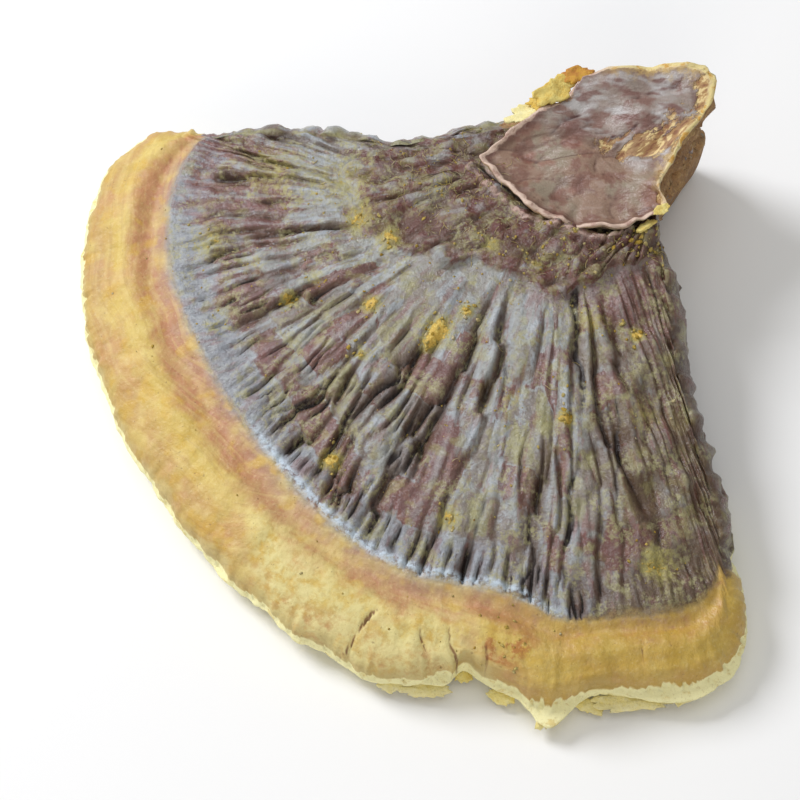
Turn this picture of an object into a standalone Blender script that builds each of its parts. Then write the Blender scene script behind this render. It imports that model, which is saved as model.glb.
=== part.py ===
"""A dried reishi bracket, picked off its wood and lying on its pore face.

The bracket grew as one piece, so it is one closed solid: a fan shaped cap with a ribbed crust, a paler
rolled margin, a rough boss and a torn stub at the back, and a pore face that is flat where it rests.
X runs across the fan, Y from the front lip to the stub and Z up, in metres. The origin is under the middle.
The solid is a loft: rings of points run from the middle of the stub's plate out over the crust, round the
rim and in again under the cap, and each column of points follows a rib.
"""

import math

import bmesh
import bpy
import numpy as np
from mathutils import Vector, noise

MM = 0.001

# Heights over the surface that the bracket lies on, in millimetres
HUB_HEIGHT = 23.5
RIM_HEIGHT = 7.2
PLATE_HEIGHT = 27.2

# The stub's plate, in millimetres: its rise over its own half width, its dish and its thin raised lip
PLATE_HALF = 16.0
PLATE_RISE_BACK = 2.3
PLATE_RISE_RIGHT = 1.2
PLATE_DISH = 1.3
LIP_HEIGHT = 0.9
LIP_THICKNESS = 1.2

# Relief of the crust, in millimetres
LEDGE_HEIGHT = 1.5
RIB_HEIGHT = 0.55
RING_DEPTH = 0.5
GROOVE_DEPTH = 0.9
ROLL_HEIGHT = 1.0

# Where each ring of relief lies: share of the way across its zone, and its width as such a share
RING_AT = (0.86, 0.06)
GROOVE_AT = (0.22, 0.16)
ROLL_AT = (0.62, 0.24)

# Soft lumps: height and size in millimetres, and a layer number that gives each kind its own pattern
WAVES = (0.8, 27.0, 7.3)
BOSS_LUMPS = (0.8, 4.5, 1.7)
CRUST_LUMPS = (0.4, 6.0, 9.4)
PLATE_LUMPS = (0.35, 9.0, 3.1)
WALL_LUMPS = (2.8, 6.0, 6.6)

# How much the ribs differ in height, along each rib and from rib to rib, as shares
RIB_FADES = (0.7, 11.0, 5.2)
RIB_ODDS = (0.8, 1.2, 8.8)

# Least width of the margin zone and its most as a share of the crust, least height of the lip, and how
# far the lip tucks in under the rim
MARGIN_LEAST = 0.6
MARGIN_MOST = 0.6
LEAST_LIP = 0.35
LEAST_TUCK = 1.8

# The dome of the crust: its highest place, its reach to the left, right, front and back, and how it
# falls from there to the rim, where 1 is a straight slope and more is a rounder dome
HUB = (25.0, 37.0)
REACH_LEFT = 89.0
REACH_RIGHT = 62.0
REACH_FRONT = 101.0
REACH_BACK = 62.0
DOME_POWER = 1.7

# Spacing of the columns along the rim, in millimetres, on the ribbed fan and on the plain back
FAN_SPACING = 2.35
BACK_SPACING = 4.6

# Plan of the rim's outermost line, in millimetres, from the notch at the back left round the front
OUTLINE = (
    (-35.2, 57.2), (-41.6, 59.3), (-46.9, 59.7), (-51.8, 56.8), (-56.4, 51.3), (-59.1, 43.5), (-60.2, 33.2),
    (-59.6, 22.4), (-58.0, 13.4), (-54.9, 4.4), (-50.6, -5.8), (-42.7, -19.0), (-36.3, -27.5), (-30.5, -34.1),
    (-25.2, -38.9), (-19.0, -44.6), (-13.6, -47.4), (-7.2, -51.5), (-3.4, -52.7), (3.4, -53.3), (7.6, -53.3),
    (10.4, -50.6), (14.0, -53.1), (19.3, -55.7), (24.1, -60.5), (27.3, -59.3), (31.5, -55.3), (37.9, -55.1),
    (46.9, -56.3), (52.2, -55.1), (57.5, -50.3), (59.6, -42.4), (59.3, -36.6), (58.0, -31.4), (58.2, -24.6),
    (55.8, -13.4), (52.7, 2.9), (51.7, 17.4), (49.4, 26.5), (47.4, 33.0), (49.0, 40.0), (54.2, 48.5),
    (57.8, 56.0), (49.0, 60.1), (36.0, 60.2), (28.5, 59.0), (20.4, 58.0), (11.4, 54.7), (-0.3, 52.3),
    (-9.8, 56.0), (-17.8, 57.8), (-25.7, 58.7),
)
FAN_START = 0.5
FAN_END = 33.0

# The direction into the cap is evened out over this many stations to each side, and read over this step
EVEN_OVER = 1.1
EVEN_STEP = 0.2

# The stub's plate: station on the outline that each point faces, x, y, height over the slanted plate,
# and how far out its neck stands, as a share of the plate's own size
PLATE = (
    (2.0, 14.7, 41.6, -0.3, 0.95), (6.0, 15.6, 39.6, 0.0, 0.94), (9.0, 18.4, 36.4, 0.2, 0.91),
    (12.0, 22.9, 30.6, 0.3, 0.88), (15.0, 27.2, 28.3, 0.2, 0.86), (18.5, 31.4, 27.0, 0.0, 0.86),
    (22.5, 35.0, 26.2, 0.0, 0.86), (26.5, 38.6, 26.1, 0.0, 0.86), (29.5, 42.0, 27.3, 0.0, 0.85),
    (32.5, 45.0, 28.4, 0.2, 0.84), (36.0, 47.2, 29.2, 0.5, 0.81), (37.6, 47.4, 31.4, 0.2, 0.85),
    (39.0, 46.4, 34.0, 0.0, 0.92), (40.0, 48.6, 38.4, 0.0, 0.90), (41.0, 53.0, 45.8, 0.3, 0.92),
    (42.0, 57.6, 53.4, 0.8, 0.95), (42.6, 55.6, 57.6, 0.8, 0.98), (43.6, 46.0, 58.7, 0.3, 1.0),
    (44.4, 35.0, 58.3, 0.4, 1.0), (45.3, 30.6, 54.0, 0.2, 0.99), (46.3, 23.4, 49.6, 0.0, 0.97),
    (48.0, 17.6, 45.6, -0.3, 0.96), (50.0, 15.4, 43.2, -0.4, 0.95),
)
PLATE_MIDDLE = (35.5, 42.5)

# Where the rough boss ends in a ledge and the ribs start: station that each point faces, x, y
LEDGE = (
    (0.0, -9.8, 42.2), (1.0, -10.0, 41.0), (2.0, -9.9, 39.9), (4.0, -9.4, 37.4), (6.0, -8.6, 32.6),
    (8.0, -6.6, 27.0), (10.0, 0.0, 23.2), (12.0, 7.6, 21.4), (14.0, 13.6, 20.6), (16.0, 18.4, 19.2),
    (18.0, 21.8, 17.0), (20.0, 24.4, 15.2), (23.0, 27.4, 14.2), (25.5, 29.6, 15.0), (28.0, 32.6, 17.0),
    (30.0, 35.4, 18.4), (32.0, 38.0, 19.4), (34.0, 39.6, 20.0), (35.0, 40.9, 20.7), (36.0, 42.8, 22.0),
    (37.4, 46.1, 25.2), (38.4, 46.6, 29.6), (39.2, 46.8, 33.0), (46.4, 20.8, 51.6), (47.4, 12.0, 47.8),
    (48.5, 2.0, 45.8), (49.3, -3.8, 45.6), (50.0, -7.0, 45.0), (51.0, -9.2, 43.5),
)

# The rim: station on the outline, height of its outermost line, height of the lip under it, width of the
# rounding, width of the pale margin, and steepness of the wall: 0 where the crust runs out as a dome, 1
# where the torn stub falls straight to the pore face
RIM = (
    (0.0, 7.6, 3.0, 3.6, 4.4, 0.0), (0.6, 7.4, 3.2, 3.4, 5.0, 0.0), (1.2, 7.2, 3.4, 3.4, 7.2, 0.0),
    (2.0, 7.2, 3.8, 3.2, 11.2, 0.0), (4.0, 6.6, 3.6, 3.2, 14.5, 0.0), (7.0, 5.4, 2.6, 3.0, 17.0, 0.0),
    (10.0, 4.6, 1.8, 3.0, 18.5, 0.0), (13.0, 4.2, 1.5, 3.0, 18.5, 0.0), (15.0, 4.9, 2.1, 3.0, 17.5, 0.0),
    (16.2, 3.9, 1.2, 3.0, 17.0, 0.0), (19.0, 4.1, 1.4, 3.0, 16.5, 0.0), (21.0, 4.5, 1.9, 2.6, 13.5, 0.0),
    (24.0, 3.5, 1.0, 3.0, 17.5, 0.0), (26.0, 4.1, 1.4, 3.0, 13.2, 0.0), (28.0, 4.1, 1.4, 3.2, 15.5, 0.0),
    (30.0, 4.6, 1.8, 3.2, 13.0, 0.0), (32.0, 5.4, 2.2, 3.2, 7.0, 0.0), (33.0, 6.2, 2.4, 3.2, 4.4, 0.0),
    (34.0, 6.6, 2.0, 3.2, 4.0, 0.0), (36.0, 7.8, 1.6, 4.4, 5.2, 0.0), (37.4, 9.0, 1.0, 3.6, 4.4, 0.0),
    (38.6, 10.0, 0.6, 1.6, 2.4, 0.3), (39.6, 11.0, 0.6, 0.3, 0.8, 1.0), (42.5, 12.0, 0.4, 0.2, 0.6, 1.0),
    (44.5, 12.0, 0.4, 0.2, 0.6, 1.0), (45.6, 11.4, 0.6, 1.0, 1.6, 0.8), (47.0, 10.4, 0.8, 4.0, 4.6, 0.0),
    (48.5, 9.6, 1.2, 5.0, 5.6, 0.0), (50.0, 8.8, 1.8, 5.2, 5.8, 0.0), (51.2, 8.2, 2.6, 4.2, 4.8, 0.0),
)

# Rings of the loft: shares of the way across each zone, from its inner edge to its outer edge
PLATE_RINGS = (0.34, 0.64, 0.86)
BOSS_RINGS = (0.0, 0.35, 0.7, 0.94)
CRUST_RINGS = (0.06, 0.22, 0.40, 0.58, 0.74, 0.88, 0.96)
MARGIN_RINGS = (0.0, 0.22, 0.5, 0.8, 1.0)

# Rings of the rim: angles over and under its outermost line
RIM_ANGLES = (60.0, 28.0, 0.0, -45.0, -90.0)

# Where the torn stub falls straight down: share of the fall that each zone covers, height of the step
# under its lip and over its foot, and where its ledge lies between the neck and the rim
WALL_SHARES = {"boss": (0.0, 0.3), "crust": (0.3, 0.8), "margin": (0.8, 1.0)}
WALL_STEP = 1.0
WALL_LEDGE = 0.4

# Rings under the cap: share of the outline's size, and share of the lip's height that is left
UNDER_RINGS = ((0.86, 0.35), (0.70, 0.0))
UNDER_MIDDLE = (0.0, 4.0)

# Colour and roughness of each finish
FINISHES = {
    "stub_skin": ((0.34, 0.22, 0.18, 1.0), 0.6),
    "ribbed_crust": ((0.155, 0.110, 0.100, 1.0), 0.5),
    "pale_margin": ((0.56, 0.40, 0.17, 1.0), 0.6),
    "pore_face": ((0.55, 0.44, 0.28, 1.0), 0.85),
}


def spline(knots, values, period, at):
    """Return a closed cubic through values at rising knots, read at each place in at."""
    knots = np.asarray(knots, float)
    values = np.asarray(values, float)
    steps = np.diff(np.append(knots, knots[0] + period))
    rises = (np.roll(values, -1, axis=0) - values) / steps[:, None]
    before = np.roll(steps, 1)[:, None]
    slopes = (rises * before + np.roll(rises, 1, axis=0) * steps[:, None]) / (before + steps[:, None])
    place = knots[0] + (np.asarray(at, float) - knots[0]) % period
    index = np.searchsorted(knots, place, side="right") - 1
    step = steps[index][:, None]
    u = ((place - knots[index]) / steps[index])[:, None]
    first = values[index]
    last = np.roll(values, -1, axis=0)[index]
    start = slopes[index] * step
    end = np.roll(slopes, -1, axis=0)[index] * step
    return (
        first * (2 * u**3 - 3 * u**2 + 1)
        + start * (u**3 - 2 * u**2 + u)
        + last * (3 * u**2 - 2 * u**3)
        + end * (u**3 - u**2)
    )


def smooth(low, high, value):
    """Return 0 below low and 1 above high, with a soft ramp between them."""
    share = min(max((value - low) / (high - low), 0.0), 1.0)
    return share * share * (3.0 - 2.0 * share)


def bump(centre, width, value):
    """Return a soft hill that is 1 at its centre and fades over its width."""
    return math.exp(-(((value - centre) / width) ** 2))


def lumps(kind, x, y):
    """Return the height of one kind of soft lumps at a place."""
    height, size, layer = kind
    return height * noise.noise(Vector((x / size, y / size, layer)))


class Outline:
    """The rim's outermost line, read by station: station 3 is the fourth point of the list."""

    def __init__(self):
        points = np.array(OUTLINE)
        chords = np.linalg.norm(np.roll(points, -1, axis=0) - points, axis=1)
        self.points = points
        self.count = len(points)
        self.knots = np.append(0.0, np.cumsum(np.sqrt(chords)))

    def at(self, stations):
        """Return the outline's points at some stations."""
        places = np.interp(stations, np.arange(self.count + 1), self.knots)
        return spline(self.knots[:-1], self.points, self.knots[-1], places)

    def columns(self):
        """Return stations for the columns: an even number, close together on the ribbed fan."""
        fine = np.linspace(0.0, self.count, 6000)
        line = self.at(fine)
        lengths = np.linalg.norm(np.diff(line, axis=0), axis=1)
        middles = (fine[1:] + fine[:-1]) / 2
        on_fan = (middles > FAN_START) & (middles < FAN_END)
        weights = lengths / np.where(on_fan, FAN_SPACING, BACK_SPACING)
        total = np.append(0.0, np.cumsum(weights))
        number = 2 * round(total[-1] / 2)
        return np.interp(np.arange(number) * total[-1] / number, total, fine)

    def inward(self, stations):
        """Return directions into the cap, evened out so that small notches do not turn them."""
        spread = np.linspace(-EVEN_OVER, EVEN_OVER, 9)
        ahead = sum(self.at((stations + shift + EVEN_STEP) % self.count) for shift in spread)
        behind = sum(self.at((stations + shift - EVEN_STEP) % self.count) for shift in spread)
        along = ahead - behind
        turned = np.stack((-along[:, 1], along[:, 0]), axis=1)
        return turned / np.linalg.norm(turned, axis=1)[:, None]


def plate_slope(x, y):
    """Return the height of the stub's slanted plate, before its dish and its lip."""
    back = PLATE_RISE_BACK * (y - PLATE_MIDDLE[1]) / PLATE_HALF
    right = PLATE_RISE_RIGHT * (x - PLATE_MIDDLE[0]) / PLATE_HALF
    return PLATE_HEIGHT + back + right + lumps(PLATE_LUMPS, x, y)


def dome(x, y):
    """Return the height of the crust without its relief."""
    across = (x - HUB[0]) / (REACH_LEFT if x < HUB[0] else REACH_RIGHT)
    along = (y - HUB[1]) / (REACH_FRONT if y < HUB[1] else REACH_BACK)
    fall = math.hypot(across, along) ** DOME_POWER
    return RIM_HEIGHT + (HUB_HEIGHT - RIM_HEIGHT) * (1.0 - fall) + lumps(WAVES, x, y)


def relief(column, zone, share, x, y):
    """Return how far the crust or the margin stands over the dome at a place in one of its zones."""
    if zone == "boss":
        return LEDGE_HEIGHT * smooth(0.0, 0.5, share) + lumps(BOSS_LUMPS, x, y)
    if zone == "crust":
        rib = RIB_HEIGHT * column["rib"] * smooth(0.05, 0.45, share)
        rib *= 0.8 + lumps(RIB_FADES, x, y)
        ring = RING_DEPTH * bump(*RING_AT, share) * column["fan"]
        return rib + lumps(CRUST_LUMPS, x, y) - ring
    groove = GROOVE_DEPTH * bump(*GROOVE_AT, share)
    roll = ROLL_HEIGHT * bump(*ROLL_AT, share)
    return (roll - groove) * column["fan"]


def make_columns(outline):
    """Work out what each column of the loft needs: its plan, its heights and its rib."""
    stations = outline.columns()
    outer = outline.at(stations)
    inward = outline.inward(stations)
    plate, ledge, rim = (
        spline(np.array(table)[:, 0], np.array(table)[:, 1:], outline.count, stations)
        for table in (PLATE, LEDGE, RIM)
    )
    columns = []
    for index, station in enumerate(stations):
        plate_x, plate_y, edge_rise, neck_share = plate[index]
        middle, lip, width, margin, wall = rim[index]
        wall = min(max(wall, 0.0), 1.0)
        width = max(width, 0.0)
        into_cap = Vector(inward[index])
        edge = Vector((plate_x, plate_y))
        neck = Vector(PLATE_MIDDLE).lerp(edge, neck_share)
        rim_line = Vector(outer[index])
        shoulder = rim_line + into_cap * width
        ledge_line = Vector(ledge[index]).lerp(neck.lerp(shoulder, WALL_LEDGE), wall)
        margin_share = max(margin - width, MARGIN_LEAST) / (shoulder - ledge_line).length
        margin_line = shoulder.lerp(ledge_line, min(margin_share, MARGIN_MOST))
        fan = smooth(FAN_START - 0.5, FAN_START + 1.5, station)
        fan *= 1.0 - smooth(FAN_END - 2.0, FAN_END + 0.5, station)
        crest = 1.0 if index % 2 else -1.0
        columns.append(
            {
                "edge": edge,
                "edge_rise": edge_rise,
                "neck_share": neck_share,
                "boss": (neck, ledge_line),
                "crust": (ledge_line, margin_line),
                "margin": (margin_line, shoulder),
                "rim_line": rim_line,
                "out": -into_cap,
                "tuck": max(width, LEAST_TUCK),
                "middle": middle,
                "lip": max(lip, LEAST_LIP),
                "wall": wall,
                "fan": fan,
                "rib": crest * fan * (1.0 + lumps(RIB_ODDS, index, 0.0)),
            }
        )
    return columns


def ring_of(columns, place):
    """Return one ring of the loft: a point for each column, from a function of the column."""
    return [place(column) for column in columns]


def stub_rings(columns):
    """Return the rings of the stub: its dished plate, its thin lip and the neck under the lip."""
    centre = Vector(PLATE_MIDDLE)

    def on_plate(column, share, rise):
        spot = centre.lerp(column["edge"], share)
        dish = PLATE_DISH * (1.0 - share**2)
        return (spot.x, spot.y, plate_slope(*spot) + column["edge_rise"] * share - dish + rise)

    places = [(share, 0.0) for share in PLATE_RINGS]
    places += [(0.96, LIP_HEIGHT), (1.0, LIP_HEIGHT / 2), (0.99, LIP_HEIGHT / 2 - LIP_THICKNESS)]
    rings = [ring_of(columns, lambda column, at=at: on_plate(column, *at)) for at in places]
    rings.append(ring_of(columns, lambda column: on_plate(column, column["neck_share"], -LIP_THICKNESS)))
    return rings


def on_cap(column, zone, share):
    """Return a point of the crust or the margin, or of the torn wall where the stub falls straight."""
    start, end = column[zone]
    spot = start.lerp(end, share)
    crust = dome(*spot) + relief(column, zone, share, *spot)
    top = plate_slope(*column["boss"][0]) - LIP_THICKNESS - WALL_STEP
    first, last = WALL_SHARES[zone]
    way = first + share * (last - first)
    torn = top + (column["middle"] + WALL_STEP - top) * way
    height = crust + (torn - crust) * column["wall"]
    rough = lumps(WALL_LUMPS, spot.x + spot.y, height)
    spot += column["out"] * rough * column["wall"] * way * (1.0 - way)
    return Vector((*spot, height))


def on_rim(column, angle):
    """Return a point of the rounded rim: over its outermost line up to the crust, under it to the lip."""
    turn = math.radians(angle)
    if angle > 0:
        shoulder = on_cap(column, "margin", 1.0)
        spot = shoulder.xy.lerp(column["rim_line"], math.cos(turn))
        rise = (shoulder.z - column["middle"]) * math.sin(turn)
    else:
        spot = column["rim_line"] - column["out"] * column["tuck"] * (1.0 - math.cos(turn))
        rise = (column["middle"] - column["lip"]) * math.sin(turn)
    return (*spot, column["middle"] + rise)


def cap_rings(columns, zone, shares):
    """Return the rings of one zone of the cap."""
    return [ring_of(columns, lambda column, share=share: on_cap(column, zone, share)) for share in shares]


def rim_rings(columns):
    """Return the rings of the rounded rim."""
    return [ring_of(columns, lambda column, angle=angle: on_rim(column, angle)) for angle in RIM_ANGLES]


def under_rings(columns):
    """Return the rings under the cap: the lip's inner side and the edge of the flat pore face."""
    centre = Vector(UNDER_MIDDLE)

    def under(column, size, left):
        return (*centre.lerp(column["rim_line"], size), column["lip"] * left)

    return [ring_of(columns, lambda column, at=at: under(column, *at)) for at in UNDER_RINGS]


def loft(rings, finishes, pole):
    """Join the rings into one closed mesh, from a point on top to one flat face underneath."""
    mesh = bmesh.new()
    top = mesh.verts.new(Vector(pole) * MM)
    loops = [[mesh.verts.new(Vector(point) * MM) for point in ring] for ring in rings]
    count = len(loops[0])
    for column in range(count):
        mesh.faces.new((top, loops[0][column], loops[0][(column + 1) % count]))
    for inner, outer, finish in zip(loops, loops[1:], finishes[1:]):
        for column in range(count):
            after = (column + 1) % count
            face = mesh.faces.new((inner[column], outer[column], outer[after], inner[after]))
            face.material_index = finish
    floor = mesh.faces.new(reversed(loops[-1]))
    floor.material_index = finishes[-1]
    return mesh


def centre_on_origin(mesh):
    """Move the mesh so that the middle of its box is over the origin."""
    xs = [vert.co.x for vert in mesh.verts]
    ys = [vert.co.y for vert in mesh.verts]
    shift = Vector(((min(xs) + max(xs)) / 2, (min(ys) + max(ys)) / 2, 0.0))
    bmesh.ops.translate(mesh, verts=mesh.verts, vec=-shift)


def finish_material(name):
    """Return the material of one finish."""
    colour, roughness = FINISHES[name]
    material = bpy.data.materials.new(name)
    material.use_nodes = True
    shader = material.node_tree.nodes["Principled BSDF"]
    shader.inputs["Base Color"].default_value = colour
    shader.inputs["Roughness"].default_value = roughness
    shader.inputs["Metallic"].default_value = 0.0
    return material


def make_bracket():
    """Make the bracket as one object."""
    columns = make_columns(Outline())
    groups = (
        stub_rings(columns),
        cap_rings(columns, "boss", BOSS_RINGS) + cap_rings(columns, "crust", CRUST_RINGS),
        cap_rings(columns, "margin", MARGIN_RINGS) + rim_rings(columns),
        under_rings(columns),
    )
    rings = [ring for group in groups for ring in group]
    finishes = [index for index, group in enumerate(groups) for ring in group]
    pole = (*PLATE_MIDDLE, plate_slope(*PLATE_MIDDLE) - PLATE_DISH)
    mesh = loft(rings, finishes, pole)
    centre_on_origin(mesh)
    data = bpy.data.meshes.new("reishi_bracket")
    for name in FINISHES:
        data.materials.append(finish_material(name))
    mesh.to_mesh(data)
    mesh.free()
    data.shade_smooth()
    data.set_sharp_from_angle(angle=math.radians(50))
    bracket = bpy.data.objects.new("reishi_bracket", data)
    bpy.context.scene.collection.objects.link(bracket)


for old in list(bpy.data.objects):
    bpy.data.objects.remove(old, do_unlink=True)
make_bracket()
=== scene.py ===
"""A dried reishi bracket lying on its pore face, seen from in front and from about 62 degrees above.

The bracket's form follows the same named values as the part's solid, and adds what that solid is too coarse
for: the wrinkled ribs of the crust, its pleats and deep creases, the crumbly boss, the torn stub, the layered
margin and the chipped pore layer, with crumbs, spore dust and torn fibres lying on it.
"""

import math
import random
from types import SimpleNamespace

import bmesh
import bpy
import numpy as np
from bpy.props import FloatProperty, FloatVectorProperty, IntProperty, PointerProperty
from mathutils import Color, Euler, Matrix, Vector, noise
from mathutils.bvhtree import BVHTree


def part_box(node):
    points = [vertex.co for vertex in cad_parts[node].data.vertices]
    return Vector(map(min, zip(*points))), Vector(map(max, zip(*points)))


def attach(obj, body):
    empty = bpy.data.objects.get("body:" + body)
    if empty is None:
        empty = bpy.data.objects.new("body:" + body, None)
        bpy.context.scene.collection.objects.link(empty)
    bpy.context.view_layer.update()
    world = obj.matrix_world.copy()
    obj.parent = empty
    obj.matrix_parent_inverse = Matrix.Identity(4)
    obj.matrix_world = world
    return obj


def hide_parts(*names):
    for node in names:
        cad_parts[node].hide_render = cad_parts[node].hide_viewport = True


bl_info = {
    "name": "Dried Reishi Bracket",
    "version": (1, 0, 0),
    "blender": (4, 5, 0),
    "location": "3D View > Sidebar > Reishi",
    "description": "Makes a dried reishi bracket with its ribbed crust, golden margin and torn stub",
    "category": "Object",
}

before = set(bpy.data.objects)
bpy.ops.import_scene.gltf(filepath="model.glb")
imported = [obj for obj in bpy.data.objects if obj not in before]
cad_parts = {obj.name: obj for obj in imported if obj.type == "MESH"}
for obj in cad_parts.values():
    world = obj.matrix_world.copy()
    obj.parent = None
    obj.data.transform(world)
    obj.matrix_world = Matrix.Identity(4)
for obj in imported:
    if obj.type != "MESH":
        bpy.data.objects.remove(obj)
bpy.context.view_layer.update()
CAD_BOX = [np.array(corner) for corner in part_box("reishi_bracket")]

MM = 0.001

# Heights over the surface that the bracket lies on, in millimetres
HUB_HEIGHT = 23.5
RIM_HEIGHT = 7.2
PLATE_HEIGHT = 27.2

# The stub's plate, in millimetres: its rise over its own half width, its dish and its thin raised lip
PLATE_HALF = 16
PLATE_RISE_BACK = 2.3
PLATE_RISE_RIGHT = 1.2
PLATE_DISH = 1.3
LIP_THICKNESS = 1.2
LIP_EDGE = 0.6

# Where that lip starts, as a share of the plate's size
LIP_INSIDE = 0.965

# Relief of the crust, in millimetres
LEDGE_HEIGHT = 1.5
SHELF_HEIGHT = 1.5
RING_DEPTH = 0.5
GROOVE_DEPTH = 0.9
ROLL_HEIGHT = 1
HEM_HEIGHT = 0.25
DUST_HEIGHT = 0.3
PEEL_DEPTH = 0.3
CUT_HALF = 0.32

# Where each ring of relief lies: share of the way across its zone, and its width as such a share
RING_AT = (0.86, 0.06)
GROOVE_AT = (0.22, 0.16)
ROLL_AT = (0.62, 0.24)

# Soft lumps: height and size in millimetres, and a layer number that gives each kind its own pattern
WAVES = (0.8, 27, 7.3)
BOSS_LUMPS = (0.8, 4.5, 1.7)
CRUST_LUMPS = (0.4, 6, 9.4)
PLATE_LUMPS = (0.35, 9, 3.1)

# Least width of the margin zone and its most as a share of the crust, least height of the lip, and how
# far the lip tucks in under the rim
MARGIN_LEAST = 0.6
MARGIN_MOST = 0.6
LEAST_LIP = 0.35
LEAST_TUCK = 1.8

# The dome of the crust: its highest place, its reach to the left, right, front and back, and how it
# falls from there to the rim, where 1 is a straight slope and more is a rounder dome
HUB = (25, 37)
REACH_LEFT = 89
REACH_RIGHT = 62
REACH_FRONT = 101
REACH_BACK = 62
DOME_POWER = 1.7

# Plan of the rim's outermost line, in millimetres, from the notch at the back left round the front
OUTLINE = (
    (-35.2, 57.2), (-41.6, 59.3), (-46.9, 59.7), (-51.8, 56.8), (-56.4, 51.3), (-59.1, 43.5), (-60.2, 33.2),
    (-59.6, 22.4), (-58, 13.4), (-54.9, 4.4), (-50.6, -5.8), (-42.7, -19), (-36.3, -27.5), (-30.5, -34.1),
    (-25.2, -38.9), (-19, -44.6), (-13.6, -47.4), (-7.2, -51.5), (-3.4, -52.7), (3.4, -53.3), (7.6, -53.3),
    (10.4, -50.6), (14, -53.1), (19.3, -55.7), (24.1, -60.5), (27.3, -59.3), (31.5, -55.3), (37.9, -55.1),
    (46.9, -56.3), (52.2, -55.1), (57.5, -50.3), (59.6, -42.4), (59.3, -36.6), (58, -31.4), (58.2, -24.6),
    (55.8, -13.4), (52.7, 2.9), (51.7, 17.4), (49.4, 26.5), (47.4, 33), (49, 40), (54.2, 48.5), (57.8, 56),
    (49, 60.1), (36, 60.2), (28.5, 59), (20.4, 58), (11.4, 54.7), (-0.3, 52.3), (-9.8, 56), (-17.8, 57.8),
    (-25.7, 58.7),
)
FAN_START = 0.5
FAN_END = 33

# The direction into the cap is evened out over this many stations to each side, and read over this step
EVEN_OVER = 1.1
EVEN_STEP = 0.2

# The stub's plate: station on the outline that each point faces, x, y, height over the slanted plate,
# and how far out its neck stands, as a share of the plate's own size
PLATE = (
    (2, 14.7, 41.6, -0.3, 0.95), (6, 15.6, 39.6, 0, 0.94), (9, 18.4, 36.4, 0.2, 0.91),
    (12, 22.9, 30.6, 0.3, 0.88), (15, 27.2, 28.3, 0.2, 0.86), (18.5, 31.4, 27, 0, 0.86),
    (22.5, 35, 26.2, 0, 0.86), (26.5, 38.6, 26.1, 0, 0.86), (29.5, 42, 27.3, 0, 0.85),
    (32.5, 45, 28.4, 0.2, 0.84), (36, 47.2, 29.2, 0.5, 0.81), (37.6, 47.4, 31.4, 0.2, 0.85),
    (39, 46.4, 34, 0, 0.92), (40, 48.6, 38.4, 0, 0.9), (41, 53, 45.8, 0.3, 0.92), (42, 57.6, 53.4, 0.8, 0.95),
    (42.6, 55.6, 57.6, 0.8, 0.98), (43.6, 46, 58.7, 0.3, 1), (44.4, 35, 58.3, 0.4, 1),
    (45.3, 30.6, 54, 0.2, 0.99), (46.3, 23.4, 49.6, 0, 0.97), (48, 17.6, 45.6, -0.3, 0.96),
    (50, 15.4, 43.2, -0.4, 0.95),
)
PLATE_MIDDLE = (35.5, 42.5)

# Where the rough boss ends in a ledge and the ribs start: station that each point faces, x, y
LEDGE = (
    (0, -9.8, 42.2), (1, -10, 41), (2, -9.9, 39.9), (4, -9.4, 37.4), (6, -8.6, 32.6), (8, -6.6, 27),
    (10, 0, 23.2), (12, 7.6, 21.4), (14, 13.6, 20.6), (16, 18.4, 19.2), (18, 21.8, 17), (20, 24.4, 15.2),
    (23, 27.4, 14.2), (25.5, 29.6, 15), (28, 32.6, 17), (30, 35.4, 18.4), (32, 38, 19.4), (34, 39.6, 20),
    (35, 40.9, 20.7), (36, 42.8, 22), (37.4, 46.1, 25.2), (38.4, 46.6, 29.6), (39.2, 46.8, 33),
    (46.4, 20.8, 51.6), (47.4, 12, 47.8), (48.5, 2, 45.8), (49.3, -3.8, 45.6), (50, -7, 45), (51, -9.2, 43.5),
)

# The rim: station on the outline, height of its outermost line, height of the lip under it, width of the
# rounding, width of the pale margin, and steepness of the wall: 0 where the crust runs out as a dome, 1
# where the torn stub falls straight to the pore face
RIM = (
    (0, 7.6, 3, 3.6, 4.4, 0), (0.6, 7.4, 3.2, 3.4, 5, 0), (1.2, 7.2, 3.4, 3.4, 7.2, 0),
    (2, 7.2, 3.8, 3.2, 11.2, 0), (4, 6.6, 3.6, 3.2, 14.5, 0), (7, 5.4, 2.6, 3, 17, 0),
    (10, 4.6, 1.8, 3, 18.5, 0), (13, 4.2, 1.5, 3, 18.5, 0), (15, 4.9, 2.1, 3, 17.5, 0),
    (16.2, 3.9, 1.2, 3, 17, 0), (19, 4.1, 1.4, 3, 16.5, 0), (21, 4.5, 1.9, 2.6, 13.5, 0),
    (24, 3.5, 1, 3, 17.5, 0), (26, 4.1, 1.4, 3, 13.2, 0), (28, 4.1, 1.4, 3.2, 15.5, 0),
    (30, 4.6, 1.8, 3.2, 13, 0), (32, 5.4, 2.2, 3.2, 7, 0), (33, 6.2, 2.4, 3.2, 4.4, 0),
    (34, 6.6, 2, 3.2, 4, 0), (36, 7.8, 1.6, 4.4, 5.2, 0), (37.4, 9, 1, 3.6, 4.4, 0),
    (38.6, 10, 0.6, 1.6, 2.4, 0.3), (39.6, 11, 0.6, 0.3, 0.8, 1), (42.5, 12, 0.4, 0.2, 0.6, 1),
    (44.5, 12, 0.4, 0.2, 0.6, 1), (45.6, 11.4, 0.6, 1, 1.6, 0.8), (47, 10.4, 0.8, 4, 4.6, 0),
    (48.5, 9.6, 1.2, 5, 5.6, 0), (50, 8.8, 1.8, 5.2, 5.8, 0), (51.2, 8.2, 2.6, 4.2, 4.8, 0),
)

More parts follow.
